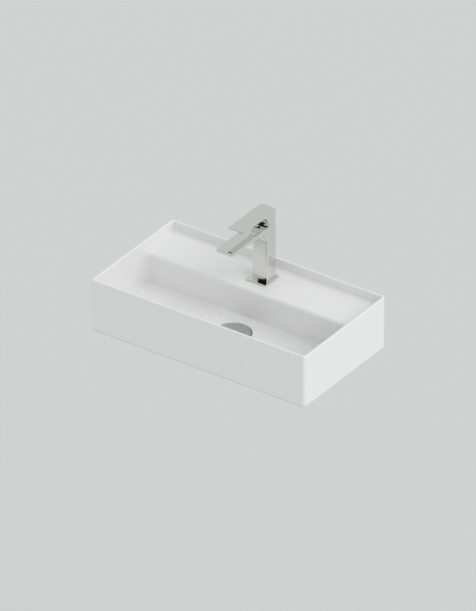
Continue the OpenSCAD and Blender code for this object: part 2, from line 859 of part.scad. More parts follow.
module cartridge_housing() {
    color(plastic)
    at_cartridge()
        difference() {
            rotate_extrude()
                housing_section();
            for (side = [-1, 1])
                translate([side * port_x, -port_y, housing_z - over])
                    cylinder(h = cart_base_h + 2 * over, d = port_d);
            translate([0, outlet_y, groove_z])
                cylinder(h = cart_base_h, d = outlet_d);
            translate([-outlet_d / 2, outlet_y, groove_z])
                cube([outlet_d, housing_r, groove_h]);
        }
}

module fixed_disc() {
    color(white)
    at_cartridge()
        translate([0, 0, fixed_z])
            difference() {
                cylinder(h = fixed_disc_t, r = chamber_r - run_clear);
                for (side = [-1, 1])
                    translate([side * port_x, -port_y, -over])
                        cylinder(h = fixed_disc_t + 2 * over, d = port_d);
                translate([0, outlet_y, -over])
                    cylinder(h = fixed_disc_t + 2 * over, d = outlet_d);
            }
}

// Places what moves with the disc at its closed position
module at_disc(z) {
    at_cartridge()
        translate([0, disc_back, z])
            children();
}

module moving_disc() {
    color(steel)
    at_disc(moving_z)
        difference() {
            cylinder(h = moving_disc_t, d = moving_disc_d);
            translate([0, outlet_y - disc_back - mixing_shift, -over])
                cylinder(h = mixing_h + over, d = mixing_d);
        }
}

// The carrier holds the ball of the arm in a pocket that is open above
module disc_carrier() {
    color(plastic)
    at_disc(carrier_z)
        difference() {
            cylinder(h = carrier_t, d = moving_disc_d);
            translate([0, 0, pocket_floor])
                cylinder(h = carrier_t, d = ball_d + 2 * ball_clear);
        }
}

module cartridge_rotor() {
    foot_z = carrier_z + carrier_t + rotor_gap;
    slot_w = shank_w + 2 * spindle_clear;
    color(blue_grey)
    at_cartridge()
        difference() {
            union() {
                translate([0, 0, foot_z])
                    cylinder(h = shoulder_z - run_clear - foot_z, r = chamber_r - flange_clear);
                translate([0, 0, foot_z])
                    cylinder(h = neck_top_z + rotor_rise - foot_z, d = rotor_d);
            }
            translate([-slot_w / 2, -slot_front, foot_z - over])
                cube([slot_w, slot_front + slot_back, body_h - foot_z]);
            translate([-rotor_d / 2, 0, pivot_z])
                rotate([0, 90, 0])
                    cylinder(h = rotor_d, d = pin_d);
        }
}

module cartridge_nut() {
    color(brass)
    at_cartridge()
        difference() {
            translate([0, 0, neck_z])
                cylinder(h = body_h - nut_drop - neck_z, r = cart_bore_d / 2 - run_clear);
            translate([0, 0, neck_z - over])
                cylinder(h = body_h - neck_z + 2 * over, r = neck_r + run_clear);
            for (a = [45:90:315])
                rotate([0, 0, a])
                    translate([neck_r, -nut_notch_w / 2, body_h - nut_drop - nut_notch_h])
                        cube([cart_bore_d, nut_notch_w, nut_notch_h + over]);
        }
}

module pivot_pin() {
    color(steel)
    at_cartridge()
        translate([pin_in - rotor_d / 2, 0, pivot_z])
            rotate([0, 90, 0])
                cylinder(h = rotor_d - 2 * pin_in, d = pin_d);
}

// The stem that the lever turns: a square shank, an arm and a ball in the carrier
module spindle() {
    foot_z = pivot_z - shank_w / 2;
    lean = atan(disc_back / arm_l);
    shown = arm_l / cos(lean) - ball_d / 4;
    color(steel)
    at_cartridge()
        difference() {
            union() {
                translate([-shank_w / 2, -shank_w / 2, foot_z])
                    cube([shank_w, shank_w, shank_top_z - foot_z]);
                translate([0, 0, pivot_z])
                    rotate([lean, 0, 0])
                        translate([-arm_w / 2, -arm_t / 2, -shown])
                            cube([arm_w, arm_t, shown]);
                translate([0, disc_back, ball_z])
                    sphere(d = ball_d);
            }
            translate([-shank_w / 2 - over, 0, pivot_z])
                rotate([0, 90, 0])
                    cylinder(h = shank_w + 2 * over, d = pin_d + 2 * run_clear);
        }
}

// The lever's side view: a hub, a bend and a thin blade, with a relief under its back
module lever_line() {
    relief_y = cart_y + relief_start;
    bent_line(lever_z, [-lever_reach, lever_z - blade_t], [hub_bend_y, hub_bend_z], hub_bend_r,
        blade_slope, [[-hub_front, hub_z], [relief_y, hub_z],
            [lever_back, hub_z + (lever_back - relief_y) * tan(relief_slope)],
            [lever_back, lever_z]]);
}

module lever() {
    pocket = shank_w + 2 * run_clear;
    color(chrome)
    at_tap()
        difference() {
            intersection() {
                across(body_w)
                    lever_line();
                translate([0, 0, hub_z - over])
                    linear_extrude(lever_h + 2 * over)
                        round_rect(-body_w / 2, body_w / 2, -lever_reach, lever_back,
                            tip_round, back_round);
                top_limits(body_w, hub_z - over, lever_z, -lever_reach - over, lever_back + over);
            }
            translate([-pocket / 2, cart_y - pocket / 2, hub_z - over])
                cube([pocket, pocket, shank_in_hub + run_clear + over]);
            translate([0, cart_y, grub_z])
                rotate([-90, 0, 0])
                    cylinder(h = body_w, d = grub_d + 2 * run_clear);
            translate([0, lever_back - plug_t, grub_z])
                rotate([-90, 0, 0])
                    cylinder(h = plug_t + over, d = plug_d + 2 * run_clear);
        }
}

module lever_grub_screw() {
    color(steel)
    at_tap()
        translate([0, cart_y + shank_w / 2, grub_z])
            rotate([-90, 0, 0])
                difference() {
                    cylinder(h = grub_l, d = grub_d);
                    translate([0, 0, grub_l - socket_h])
                        cylinder(h = socket_h + over, d = grub_d / 2, $fn = 6);
                }
}

module lever_plug() {
    color(chrome)
    at_tap()
        translate([0, lever_back - plug_t, grub_z])
            rotate([-90, 0, 0])
                cylinder(h = plug_t, d = plug_d);
}

module aerator_ring() {
    color(chrome)
    at_tap()
        translate([0, aerator_y, aerator_z])
            difference() {
                cylinder(h = aerator_h, d = aerator_d);
                translate([0, 0, -over])
                    cylinder(h = aerator_h + 2 * over, d = aerator_d - 2 * aerator_wall);
            }
}

module aerator_insert() {
    r = aerator_d / 2 - aerator_wall - run_clear;
    color(plastic)
    at_tap()
        translate([0, aerator_y, aerator_z + insert_in])
            difference() {
                cylinder(h = aerator_h, r = r);
                for (a = [0:60:300])
                    rotate([0, 0, a])
                        translate([r * jet_ring, 0, -over])
                            cylinder(h = aerator_h + 2 * over, d = jet_d);
                translate([0, 0, -over])
                    cylinder(h = aerator_h + 2 * over, d = jet_d);
            }
}

module fixing_stud() {
    color(steel)
    at_tap()
        translate([0, -stud_front, -spigot_l - stud_l])
            cylinder(h = stud_l + stud_in, d = stud_d);
}

// A horseshoe that clears both hoses and is open towards the wall
module horseshoe(h, hole_d) {
    slot_y = cart_y - port_y - hose_d / 2 - horseshoe_clear;
    linear_extrude(h)
        difference() {
            circle(d = horseshoe_d);
            translate([-horseshoe_slot / 2, slot_y])
                square([horseshoe_slot, horseshoe_d]);
            translate([0, -stud_front])
                circle(d = hole_d);
        }
}

module fixing_gasket() {
    color(rubber)
    at_tap()
        translate([0, 0, -ledge_t - gasket_t])
            horseshoe(gasket_t, stud_d + 2 * pass_clear);
}

module fixing_washer() {
    color(steel)
    at_tap()
        translate([0, 0, -ledge_t - gasket_t - horseshoe_t])
            horseshoe(horseshoe_t, stud_d + 2 * pass_clear);
}

module fixing_nut() {
    color(brass)
    at_tap()
        translate([0, -stud_front, -ledge_t - gasket_t - horseshoe_t - nut_h])
            difference() {
                cylinder(h = nut_h, d = nut_af / cos(30), $fn = 6);
                translate([0, 0, -over])
                    cylinder(h = nut_h + 2 * over, d = stud_d + 2 * run_clear);
            }
}

// Places what is drawn round the axis of the waste
module at_drain(z = 0) {
    translate([0, drain_y, z])
        children();
}

// A ring from its height z, with the outer radius r1 and the inner radius r0
module ring(z, h, r1, r0) {
    translate([0, 0, z])
        difference() {
            cylinder(h = h, r = r1);
            translate([0, 0, -over])
                cylinder(h = h + 2 * over, r = r0);
        }
}

module waste_body() {
    color(chrome)
    at_drain()
        rotate_extrude()
            difference() {
                polygon([[tail_in_r, tail_z], [tail_r - tail_bevel, tail_z],
                    [tail_r, tail_z + tail_bevel], [tail_r, flange_z], [flange_d / 2, flange_z],
                    [flange_d / 2, flange_top_z - flange_bevel],
                    [flange_d / 2 - flange_bevel, flange_top_z],
                    [tail_in_r + mouth_bevel, flange_top_z],
                    [tail_in_r, flange_top_z - mouth_bevel]]);
                translate([tail_r - tail_groove / 2, back_nut_z - 2 * tail_groove])
                    square([tail_groove, tail_groove]);
            }
}

module waste_flange_seal() {
    color(rubber)
    at_drain()
        ring(recess_z, flange_seal_t, flange_d / 2 - flange_seal_in, tail_r + run_clear);
}

module waste_back_seal() {
    color(rubber)
    at_drain()
        ring(boss_z - back_seal_t, back_seal_t, back_nut_d / 2, tail_r + run_clear);
}

module waste_slip_washer() {
    color(plastic)
    at_drain()
        ring(boss_z - back_seal_t - slip_t, slip_t, back_nut_d / 2, tail_r + run_clear);
}

module waste_back_nut() {
    color(brass)
    at_drain()
        difference() {
            union() {
                translate([0, 0, back_nut_z])
                    cylinder(h = back_nut_h, d = back_nut_d - 2 * nut_collar_t, $fn = 6);
                translate([0, 0, back_nut_z + back_nut_h - nut_collar_t])
                    cylinder(h = nut_collar_t, d = back_nut_d);
            }
            translate([0, 0, back_nut_z - over])
                cylinder(h = back_nut_h + 2 * over, r = tail_r + run_clear);
        }
}

// The guide that screws into the tail: a ring, three arms and a hub
module waste_guide() {
    ring_z = guide_top_z - arm_drop - arm_h;
    ring_r = tail_in_r - run_clear;
    color(plastic)
    at_drain()
        difference() {
            union() {
                ring(ring_z, arm_h, ring_r, ring_r - guide_ring_t);
                for (a = [90:120:330])
                    rotate([0, 0, a])
                        translate([0, -guide_arm_t / 2, ring_z])
                            cube([ring_r - guide_ring_t / 2, guide_arm_t, arm_h]);
                translate([0, 0, guide_z])
                    cylinder(h = guide_h, d = guide_d);
            }
            translate([0, 0, guide_z - over])
                cylinder(h = guide_h + 2 * over, d = stem_d + 2 * run_clear);
        }
}

module waste_stem() {
    color(steel)
    at_drain()
        translate([0, 0, guide_z - cap_travel])
            cylinder(h = cap_z - guide_z + cap_travel, d = stem_d);
}

module waste_cap() {
    color(chrome)
    at_drain()
        difference() {
            union() {
                rotate_extrude()
                    intersection() {
                        translate([0, cap_z])
                            square([cap_d / 2, cap_t]);
                        union() {
                            translate([0, cap_z])
                                square([cap_d / 2, cap_t - cap_round]);
                            translate([0, cap_z])
                                square([cap_d / 2 - cap_round, cap_t]);
                            translate([cap_d / 2 - cap_round, cap_top_z - cap_round])
                                circle(cap_round);
                        }
                    }
                translate([0, 0, cap_z - cap_boss_h])
                    cylinder(h = cap_boss_h + cap_t / 2, d = cap_boss_d);
            }
            translate([0, 0, cap_z - cap_boss_h - over])
                cylinder(h = cap_boss_h + over, d = stem_d + 2 * run_clear);
        }
}

module waste_cap_seal() {
    color(rubber)
    at_drain()
        ring(cap_z - cap_seal_t, cap_seal_t, cap_seal_d / 2, cap_seal_in_d / 2);
}

// A round wire wound in one unbroken tube: steps rings a turn, each with six sides
module coil(turns, r, wire_r, h) {
    steps = 10;
    sides = 6;
    count = turns * steps + 1;
    rise = h - 2 * wire_r;
    lean = atan(rise / turns / (2 * PI * r));
    points = [for (i = [0:count - 1], j = [0:sides - 1])
        let (a = 360 * i / steps, b = 360 * j / sides,
            out = r + wire_r * cos(b), up = wire_r * sin(b) * cos(lean),
            back = -wire_r * sin(b) * sin(lean))
        [out * cos(a) - back * sin(a), out * sin(a) + back * cos(a),
            wire_r + rise * i / (count - 1) + up]];
    walls = [for (i = [0:count - 2], j = [0:sides - 1])
        let (k = (j + 1) % sides)
        [i * sides + j, i * sides + k, (i + 1) * sides + k, (i + 1) * sides + j]];
    ends = [[for (j = [sides - 1:-1:0]) j], [for (j = [0:sides - 1]) (count - 1) * sides + j]];
    polyhedron(points, concat(walls, ends));
}

module waste_spring() {
    color(steel)
    at_drain(guide_top_z + run_clear)
        coil(spring_turns, stem_d / 2 + spring_gap + wire_d / 2, wire_d / 2, spring_h - 2 * run_clear);
}

basin();
tap_base_seal();
tap_base_plate();
tap_body();
cartridge_seal();
cartridge_housing();
fixed_disc();
moving_disc();
disc_carrier();
cartridge_rotor();
cartridge_nut();
pivot_pin();
spindle();
lever();
lever_grub_screw();
lever_plug();
aerator_ring();
aerator_insert();
fixing_stud();
fixing_gasket();
fixing_washer();
fixing_nut();
waste_body();
waste_flange_seal();
waste_back_seal();
waste_slip_washer();
waste_back_nut();
waste_guide();
waste_stem();
waste_cap();
waste_cap_seal();
waste_spring();
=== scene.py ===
import json
import math
from types import SimpleNamespace

import bmesh
import bpy
from bpy.props import FloatProperty, FloatVectorProperty, PointerProperty
from bpy.types import NodeSocket, Operator, Panel, PropertyGroup
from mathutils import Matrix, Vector


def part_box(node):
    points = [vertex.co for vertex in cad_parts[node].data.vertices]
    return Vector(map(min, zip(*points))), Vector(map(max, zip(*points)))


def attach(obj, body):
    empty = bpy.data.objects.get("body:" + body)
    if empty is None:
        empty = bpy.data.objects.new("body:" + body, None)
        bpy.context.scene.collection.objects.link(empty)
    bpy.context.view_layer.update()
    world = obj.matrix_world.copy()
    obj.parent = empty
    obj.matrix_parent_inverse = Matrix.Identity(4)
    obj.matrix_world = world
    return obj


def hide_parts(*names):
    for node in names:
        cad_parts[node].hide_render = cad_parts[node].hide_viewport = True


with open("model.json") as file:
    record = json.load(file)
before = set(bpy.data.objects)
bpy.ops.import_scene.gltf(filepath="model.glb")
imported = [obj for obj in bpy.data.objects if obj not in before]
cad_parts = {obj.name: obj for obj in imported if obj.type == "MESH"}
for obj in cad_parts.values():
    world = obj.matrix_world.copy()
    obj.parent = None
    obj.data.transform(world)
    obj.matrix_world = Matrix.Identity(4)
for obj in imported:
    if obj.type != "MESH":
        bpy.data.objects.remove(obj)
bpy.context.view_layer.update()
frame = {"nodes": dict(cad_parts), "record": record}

bl_info = {
    "name": "Washbasin with mixer tap",
    "version": (1, 0, 0),
    "blender": (4, 5, 0),
    "location": "3D View > Sidebar > Washbasin",
    "description": "Models and finishes a wall-hung washbasin with its tap and waste",
    "category": "Object",
}

FIXED = "basin_fixed"
LEVER = "lever_arm"
CAP = "cap_riser"


def middle_y(name):
    """The middle of a CAD node's box from front to back, to the micrometre"""
    low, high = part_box(name)
    return round((low.y + high.y) / 2, 6)


# Places in metres: y of the tap hole, of the cartridge and of the fixing stud, and the drain
TAP_Y = -0.0585
CARTRIDGE_Y = middle_y("pivot_pin")
STUD_Y = middle_y("fixing_stud")
DRAIN = Vector((0.0, middle_y("waste_cap"), 0.0))

# The underside of the casting, in metres
FOOT = 0.012
BAY_WALL = 0.009
BAY_TOP = 0.027
FLOOR_UNDERSIDE = -0.048
BOSS_FOOT = -0.060
BOSS_TOP = -0.043
BOSS_RADIUS = 0.048
BOSS_ROUND = 0.002

# The drain's recess, the fall of the floor and the holes of the casting, in metres
RECESS_FLOOR = -0.0485
RECESS_FOOT_ROUND = 0.0015
RECESS_RIM_ROUND = 0.0012
FALL_CORNER = 0.008
FALL_MARGIN = 0.001
FALL_RIM = 0.002
FALL_HEIGHT = 0.004
DRAIN_HOLE_RADIUS = 0.023
TAP_HOLE_RADIUS = 0.0175
BOLT_HOLE_RADIUS = 0.006
BOLT_X = 0.14

# The bare ceramic: where the glaze ends, and where the ceramic is fully bare, in metres
BARE_FOOT = (-0.0622, -0.0628)
BARE_BACK = (-0.0008, -0.0002)
BARE_UNDER_RIM = (0.0560, 0.0555)

# Roughness of the glaze, from its smoothest to its roughest, and of the bare ceramic
GLAZE_ROUGHNESS = (0.20, 0.28)
BARE_ROUGHNESS = 0.85

# The tap, in metres, with its slopes in radians
TIP_ROUND = 0.0012
SPIGOT_RADIUS = 0.016
SPIGOT_ROUND = 0.0008
SPIGOT_LAP = 0.001
BORE_RADIUS = 0.013
BORE_FLOOR = 0.126
BORE_TOP = 0.186
AERATOR_BORE_RADIUS = 0.00905
AERATOR_ROOM = 0.0002
PORT_X = 0.0073
PORT_Y = -0.05725
PORT_RADIUS = 0.0045
STUD_HOLE_RADIUS = 0.00405
THREAD_DEPTH = 0.012
BLADE_SLOPE = math.radians(0.9)
HUB_SLOPE = math.radians(25.5)
BLADE_ROUND = 0.0006
SOCKET_HALF = 0.00405
SOCKET_DEPTH = 0.0183
PLUG_HOLE_RADIUS = 0.00345
PLATE_CORNER = 0.002
PLATE_ROUND = 0.0007
PLATE_HOLE_RADIUS = 0.0162

# The cap of the waste, in metres
CAP_THICKNESS = 0.003
CAP_ROLL = 0.0011
CAP_CHAMFER = 0.0004
CAP_BOSS_RADIUS = 0.007
CAP_BOSS_CHAMFER = 0.0003
CAP_BORE_RADIUS = 0.00405

# The axes of a point, by their number
X, Y, Z = range(3)

# Modelling: how far a tool reaches past what it cuts, the room in a test of where an edge is,
# and the distance under which two points are one, in metres
PAST = 0.01
NEAR = 1e-4
WELD = 2e-6

# Shading: the angle from which an edge is sharp, and how much large faces lead the normals
SMOOTH_ANGLE = math.radians(30)
FACE_WEIGHT = 80

# The stage: the camera's lens and sensor in millimetres, and its reach and the floor in metres
LENS = 1000
SENSOR = 36
CAMERA_REACH = 200
FLOOR_WIDTH = 60
CARD_COLOUR = (0.01, 0.01, 0.01)

# Where most values of a noise texture lie, and the sockets of a Mix node by its kind of data:
# its two inputs and its output
NOISE_SPAN = (0.3, 0.7)
MIX_SOCKETS = {"FLOAT": (2, 3, 0), "RGBA": (6, 7, 2)}

# The finishes that only the construction's own parts have, by their slot
PLAIN_FINISHES = {
    "brass": {"name": "Turned brass", "colour": (0.70, 0.52, 0.24), "metallic": 1.0,
              "roughness": (0.22, 0.34)},
    "steel": {"name": "Stainless steel", "colour": (0.58, 0.58, 0.57), "metallic": 1.0,
              "roughness": (0.24, 0.34)},
    "rubber": {"name": "Black rubber", "colour": (0.035, 0.035, 0.038), "metallic": 0.0,
               "roughness": (0.55, 0.7), "relief": 0.1},
    "plastic": {"name": "Moulded plastic", "colour": (0.62, 0.62, 0.59), "metallic": 0.0,
                "roughness": (0.35, 0.45), "relief": 0.05},
    "disc_ceramic": {"name": "Lapped ceramic", "colour": (0.78, 0.76, 0.72), "metallic": 0.0,
                     "roughness": (0.12, 0.18)},
}


def length(name, description, default):
    """A property that holds a size in metres"""
    return FloatProperty(name=name, description=description, default=default, min=0.0,
                         subtype="DISTANCE", unit="LENGTH", precision=5)


def height(name, description, default):
    """A property that holds a place in metres, on either side of 0"""
    return FloatProperty(name=name, description=description, default=default,
                         subtype="DISTANCE", unit="LENGTH", precision=5)


def angle(name, description, degrees):
    """A property that holds an angle"""
    return FloatProperty(name=name, description=description, default=math.radians(degrees),
                         subtype="ANGLE", unit="ROTATION")


def tint(name, description, default):
    """A property that holds a colour"""
    return FloatVectorProperty(name=name, description=description, default=default, size=3,
                               min=0.0, max=1.0, subtype="COLOR")


class CeramicSizes(PropertyGroup):
    wall: length("Wall", "Thickness of the walls at the rim", 0.006)
    foot_round: length("Foot rounding", "Rounding of the outer edge of the foot", 0.002)
    rim_round: length("Rim rounding", "Rounding of both edges of the rim", 0.002)
    outer_radius: length("Outer corners", "Radius of the outer upright edges", 0.008)
    inner_radius: length("Inner corners", "Radius of the inner upright edges", 0.006)
    rear_radius: length("Bowl corners", "Radius of the bowl's rear upright corners", 0.020)
    ledge_depth: length("Ledge depth", "Depth of the ledge from the rear wall", 0.107)
    ledge_round: length("Ledge rounding", "Rounding of the ledge's front edge", 0.008)
    ledge_cove: length("Ledge cove", "Cove between the ledge and the walls", 0.004)
    bowl_cove: length("Bowl cove", "Cove between the bowl's floor and its walls", 0.007)
    floor_z: height("Bowl floor", "Height of the edge of the bowl's floor", -0.037)
    floor_fall: length("Floor fall", "Fall of the floor to the drain", 0.0045)
    recess_radius: length("Drain recess", "Radius of the recess that takes the cap", 0.041)
    hollow_radius: length("Hollow corners", "Radius of the upright corners of the underside", 0.012)
    hollow_cove: length("Hollow cove", "Cove under the floor and under the ledge", 0.006)


class TapSizes(PropertyGroup):
    column_front: height("Column front", "Place of the front of the column", -0.072)
    bend_radius: length("Spout bend", "Radius of the bend under the spout", 0.020)
    tip: length("Spout tip", "Thickness of the spout at its tip", 0.0066)
    slope: angle("Spout slope", "Slope of the spout's underside", 3.9)
    front_round: length("Front rounding", "Rounding of the column's front edges", 0.005)
    back_round: length("Back rounding", "Rounding of the rear upright edges", 0.0045)
    top_round: length("Top rounding", "Rounding of the top edges", 0.0008)
    hub_front: height("Hub front", "Place of the front of the lever's hub", -0.0695)
    hub_bend: length("Lever bend", "Radius of the bend under the lever", 0.018)
    blade: length("Blade", "Thickness of the lever's blade at its tip", 0.003)


class Finishes(PropertyGroup):
    glaze: tint("Glaze", "Colour of the glazed ceramic", (0.905, 0.906, 0.902))
    bisque: tint("Bisque", "Colour of the unglazed ceramic", (0.70, 0.66, 0.59))
    chrome: tint("Chrome", "Colour of the polished chrome", (0.79, 0.79, 0.766))
    satin: tint("Satin chrome", "Colour of the cap of the waste", (0.62, 0.63, 0.61))
    backdrop: tint("Backdrop", "Colour of the floor and the backdrop", (0.645, 0.655, 0.652))


class StageSizes(PropertyGroup):
    azimuth: angle("Azimuth", "Direction from which the camera looks", 34.9)
    elevation: angle("Elevation", "Height angle of the camera", 31.6)
    aim: FloatVectorProperty(name="Aim", description="Point that the camera looks at",
                             default=(-0.0006, -0.150, 0.0158), subtype="XYZ", unit="LENGTH")
    view_height: length("View height", "Height of the picture at the basin", 1.290)
    floor_z: height("Floor", "Height of the floor under the basin", -1.4)
    floor_share: FloatProperty(name="Floor share", description="Floor colour over backdrop colour",
                               default=1.135, min=0.0, max=2.0)
    studio: FloatProperty(name="Studio", description="Strength of the light from all round",
                          default=1.0)
    key: FloatProperty(name="Key", description="Strength of the soft key light", default=1.04)
    key_from: FloatVectorProperty(name="Key from", description="Direction the key light comes from",
                                  default=(1.0, 0.0, 0.85), subtype="XYZ")
    key_width: angle("Key width", "Angle over which the key light is spread", 60)
    card_from: FloatVectorProperty(name="Card from", description="Direction of the dark card",
                                   default=(-0.487, -0.699, 0.524), subtype="XYZ")
    card_far: length("Card distance", "Distance of the dark card", 0.8)
    card_size: length("Card size", "Width and height of the dark card", 1.0)
    card_edge: height("Card edge", "Place of the card's side edge, seen from the tap", 0.038)
    card_foot: height("Card foot", "Place of the card's lower edge, seen from the tap", 0.002)


# Modelling by hand

def deselect():
    if bpy.context.object and bpy.context.object.mode != "OBJECT":
        bpy.ops.object.mode_set(mode="OBJECT")
    bpy.ops.object.select_all(action="DESELECT")


def activate(piece):
    """Selects one piece alone and makes it the active one"""
    deselect()
    piece.select_set(True)
    bpy.context.view_layer.objects.active = piece


def settled(name):
    """Names the object just added and applies where it stands, so that its origin is 0"""
    piece = bpy.context.object
    piece.name = name
    piece.data.name = name
    bpy.ops.object.transform_apply(location=True, rotation=True, scale=True)
    return piece


def block(name, low, high):
    """A box between two corners"""
    deselect()
    low, high = Vector(low), Vector(high)
    bpy.ops.mesh.primitive_cube_add(size=1, location=(low + high) / 2, scale=high - low)
    return settled(name)


def drum(name, start, end, radius, sides=96):
    """A round bar from one point to another"""
    deselect()
    start, end = Vector(start), Vector(end)
    lean = (end - start).to_track_quat("Z", "Y").to_euler()
    bpy.ops.mesh.primitive_cylinder_add(vertices=sides, radius=radius, rotation=lean,
                                        depth=(end - start).length, location=(start + end) / 2)
    return settled(name)


def edit(piece, kind="EDGE"):
    """Opens a piece in edit mode with nothing selected"""
    activate(piece)
    bpy.ops.object.mode_set(mode="EDIT")
    bpy.ops.mesh.select_mode(type=kind)
    bpy.ops.mesh.select_all(action="DESELECT")
    return bmesh.from_edit_mesh(piece.data)


def leave_edit():
    bpy.ops.object.mode_set(mode="OBJECT")


def pick(piece, bm, parts, test):
    """Selects the edges or faces that the test picks, and no others"""
    for part in parts:
        part.select = test(part)
    bm.select_flush_mode()
    bmesh.update_edit_mesh(piece.data)


def sharp(edge, least=0.9):
    """True where two faces turn by more than an angle in radians"""
    return edge.is_manifold and edge.calc_face_angle(0.0) > least


def middle(edge):
    """The point halfway along an edge"""
    return (edge.verts[0].co + edge.verts[1].co) / 2


def along(edge, axis, value, slack=2e-5):
    """True where both ends of an edge lie at the same place on one axis"""
    return all(abs(v.co[axis] - value) < slack for v in edge.verts)


def upright(edge, share=0.999):
    """True where an edge rises by nearly all of its length"""
    way = edge.verts[1].co - edge.verts[0].co
    return abs(way.z) > share * way.length


def round_edges(piece, test, width, steps):
    """Rounds the sharp edges that the test picks"""
    bm = edit(piece)
    pick(piece, bm, bm.edges, lambda e: sharp(e) and test(e))
    bpy.ops.mesh.bevel(offset_type="OFFSET", offset=width, segments=steps, profile=0.5,
                       affect="EDGES", clamp_overlap=False)
    leave_edit()


def round_by_weight(piece, widths, steps, flat=math.radians(0.02)):
    """Rounds a block whose edges have different radii; widths holds pairs of test and radius"""
    widest = max(width for _, width in widths)
    bm = edit(piece)
    layer = bm.edges.layers.float.new("bevel_weight_edge")
    for edge in bm.edges:
        for test, width in widths:
            if test(edge):
                edge[layer] = width / widest
    bmesh.update_edit_mesh(piece.data)
    leave_edit()
    coves = piece.modifiers.new("coves", "BEVEL")
    coves.limit_method = "WEIGHT"
    coves.offset_type = "OFFSET"
    coves.width = widest
    coves.segments = steps
    coves.use_clamp_overlap = False
    bpy.ops.object.modifier_apply(modifier=coves.name)
    edit(piece)
    bpy.ops.mesh.select_all(action="SELECT")
    bpy.ops.mesh.vert_connect_nonplanar(angle_limit=flat)
    leave_edit()


def join_or_cut(piece, tool, operation="DIFFERENCE"):
    """Cuts a tool out of a piece, or welds it on, and takes the tool away"""
    activate(piece)
    work = piece.modifiers.new("work", "BOOLEAN")
    work.operation = operation
    work.solver = "MANIFOLD"
    work.object = tool
    bpy.ops.object.modifier_apply(modifier=work.name)
    bpy.data.objects.remove(tool)
    edit(piece)
    bpy.ops.mesh.select_all(action="SELECT")
    bpy.ops.mesh.remove_doubles(threshold=WELD)
    bpy.ops.mesh.dissolve_degenerate(threshold=WELD)
    leave_edit()


def draw(name, points, close=True, seed=0.001):
    """Draws an outline point by point and fills it where it closes; its first vertex is a small
    plane, merged to its middle"""
    deselect()
    points = [Vector(p) for p in points]
    bpy.ops.mesh.primitive_plane_add(size=seed, location=points[0])
    piece = settled(name)
    bpy.ops.object.mode_set(mode="EDIT")
    bpy.ops.mesh.select_mode(type="VERT")
    bpy.ops.mesh.select_all(action="SELECT")
    bpy.ops.mesh.merge(type="CENTER")
    for here, there in zip(points, points[1:]):
        bpy.ops.mesh.extrude_vertices_move(TRANSFORM_OT_translate={"value": there - here})
    bpy.ops.mesh.select_all(action="SELECT")
    if close:
        bpy.ops.mesh.edge_face_add()
    leave_edit()
    return piece


def thicken(piece, way):
    """Extrudes a filled outline into a solid"""
    edit(piece, "FACE")
    bpy.ops.mesh.select_all(action="SELECT")
    bpy.ops.mesh.extrude_region_move(TRANSFORM_OT_translate={"value": way})
    bpy.ops.mesh.select_all(action="SELECT")
    bpy.ops.mesh.normals_make_consistent(inside=False)
    leave_edit()


def turn(name, centre, profile, steps=128):
    """Spins a profile of (radius, height) pairs round an upright axis; it starts and ends on it"""
    points = [(centre.x + r, centre.y, z) for r, z in profile]
    piece = draw(name, points, close=False)
    edit(piece, "VERT")
    bpy.ops.mesh.select_all(action="SELECT")
    bpy.ops.mesh.spin(steps=steps, angle=2 * math.pi, center=centre, axis=(0, 0, 1))
    bpy.ops.mesh.select_all(action="SELECT")
    bpy.ops.mesh.remove_doubles(threshold=WELD)
    bpy.ops.mesh.normals_make_consistent(inside=False)
    leave_edit()
    return piece


def arc(centre, radius, start, end, steps):
    """Points of an arc in a plane, with its angles in degrees"""
    angles = [math.radians(start + (end - start) * k / steps) for k in range(steps + 1)]
    return [(centre[0] + radius * math.cos(a), centre[1] + radius * math.sin(a)) for a in angles]


def finish_piece(piece, body, slot, material, *nodes):
    """Smooths a piece, gives it its finish and sets it on its body"""
    activate(piece)
    bpy.ops.object.shade_smooth_by_angle(angle=SMOOTH_ANGLE)
    even = piece.modifiers.new("even", "WEIGHTED_NORMAL")
    even.keep_sharp = True
    even.weight = FACE_WEIGHT
    bpy.ops.object.modifier_apply(modifier=even.name)
    piece.data.materials.clear()
    piece.data.materials.append(material)
    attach(piece, body)
    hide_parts(*nodes)
    return piece


# Finishes

def node(tree, kind, x, y, **values):
    """Adds a node at a place in its tree"""
    made = tree.nodes.new(kind)
    made.location = (x, y)
    for name, value in values.items():
        setattr(made, name, value)
    return made


def set_inputs(made, values):
    """Sets the inputs of a node by their labels"""
    for label, value in values.items():
        made.inputs[label].default_value = value


def group_of(name, inputs, output_kinds):
    """An empty node group with named inputs and outputs"""
    tree = bpy.data.node_groups.new(name, "ShaderNodeTree")
    for label, value in inputs.items():
        socket = tree.interface.new_socket(label, in_out="INPUT", socket_type="NodeSocketFloat")
        socket.default_value = value
    for label, kind in output_kinds.items():
        tree.interface.new_socket(label, in_out="OUTPUT", socket_type=kind)
    return tree, node(tree, "NodeGroupInput", -600, 0), node(tree, "NodeGroupOutput", 600, 0)


def new_material(name):
    """A material with its node tree and its shader"""
    material = bpy.data.materials.new(name)
    material.use_nodes = True
    tree = material.node_tree
    return material, tree, tree.nodes["Principled BSDF"]


def mixed(tree, factor, first, second, x, y, kind="FLOAT"):
    """Mixes two values or colours, each of them a socket or a constant"""
    made = node(tree, "ShaderNodeMix", x, y, data_type=kind)
    tree.links.new(factor, made.inputs[0])
    *places, result = MIX_SOCKETS[kind]
    for place, value in zip(places, (first, second)):
        if isinstance(value, NodeSocket):
            tree.links.new(value, made.inputs[place])
        else:
            made.inputs[place].default_value = value
    return made.outputs[result]


def toned(tree, factor, colour, low, high, x, y):
    """A colour that goes from its low share to its high share with the factor"""
    dark = (*[c * low for c in colour], 1)
    light = (*[min(1.0, c * high) for c in colour], 1)
    return mixed(tree, factor, dark, light, x, y, "RGBA")


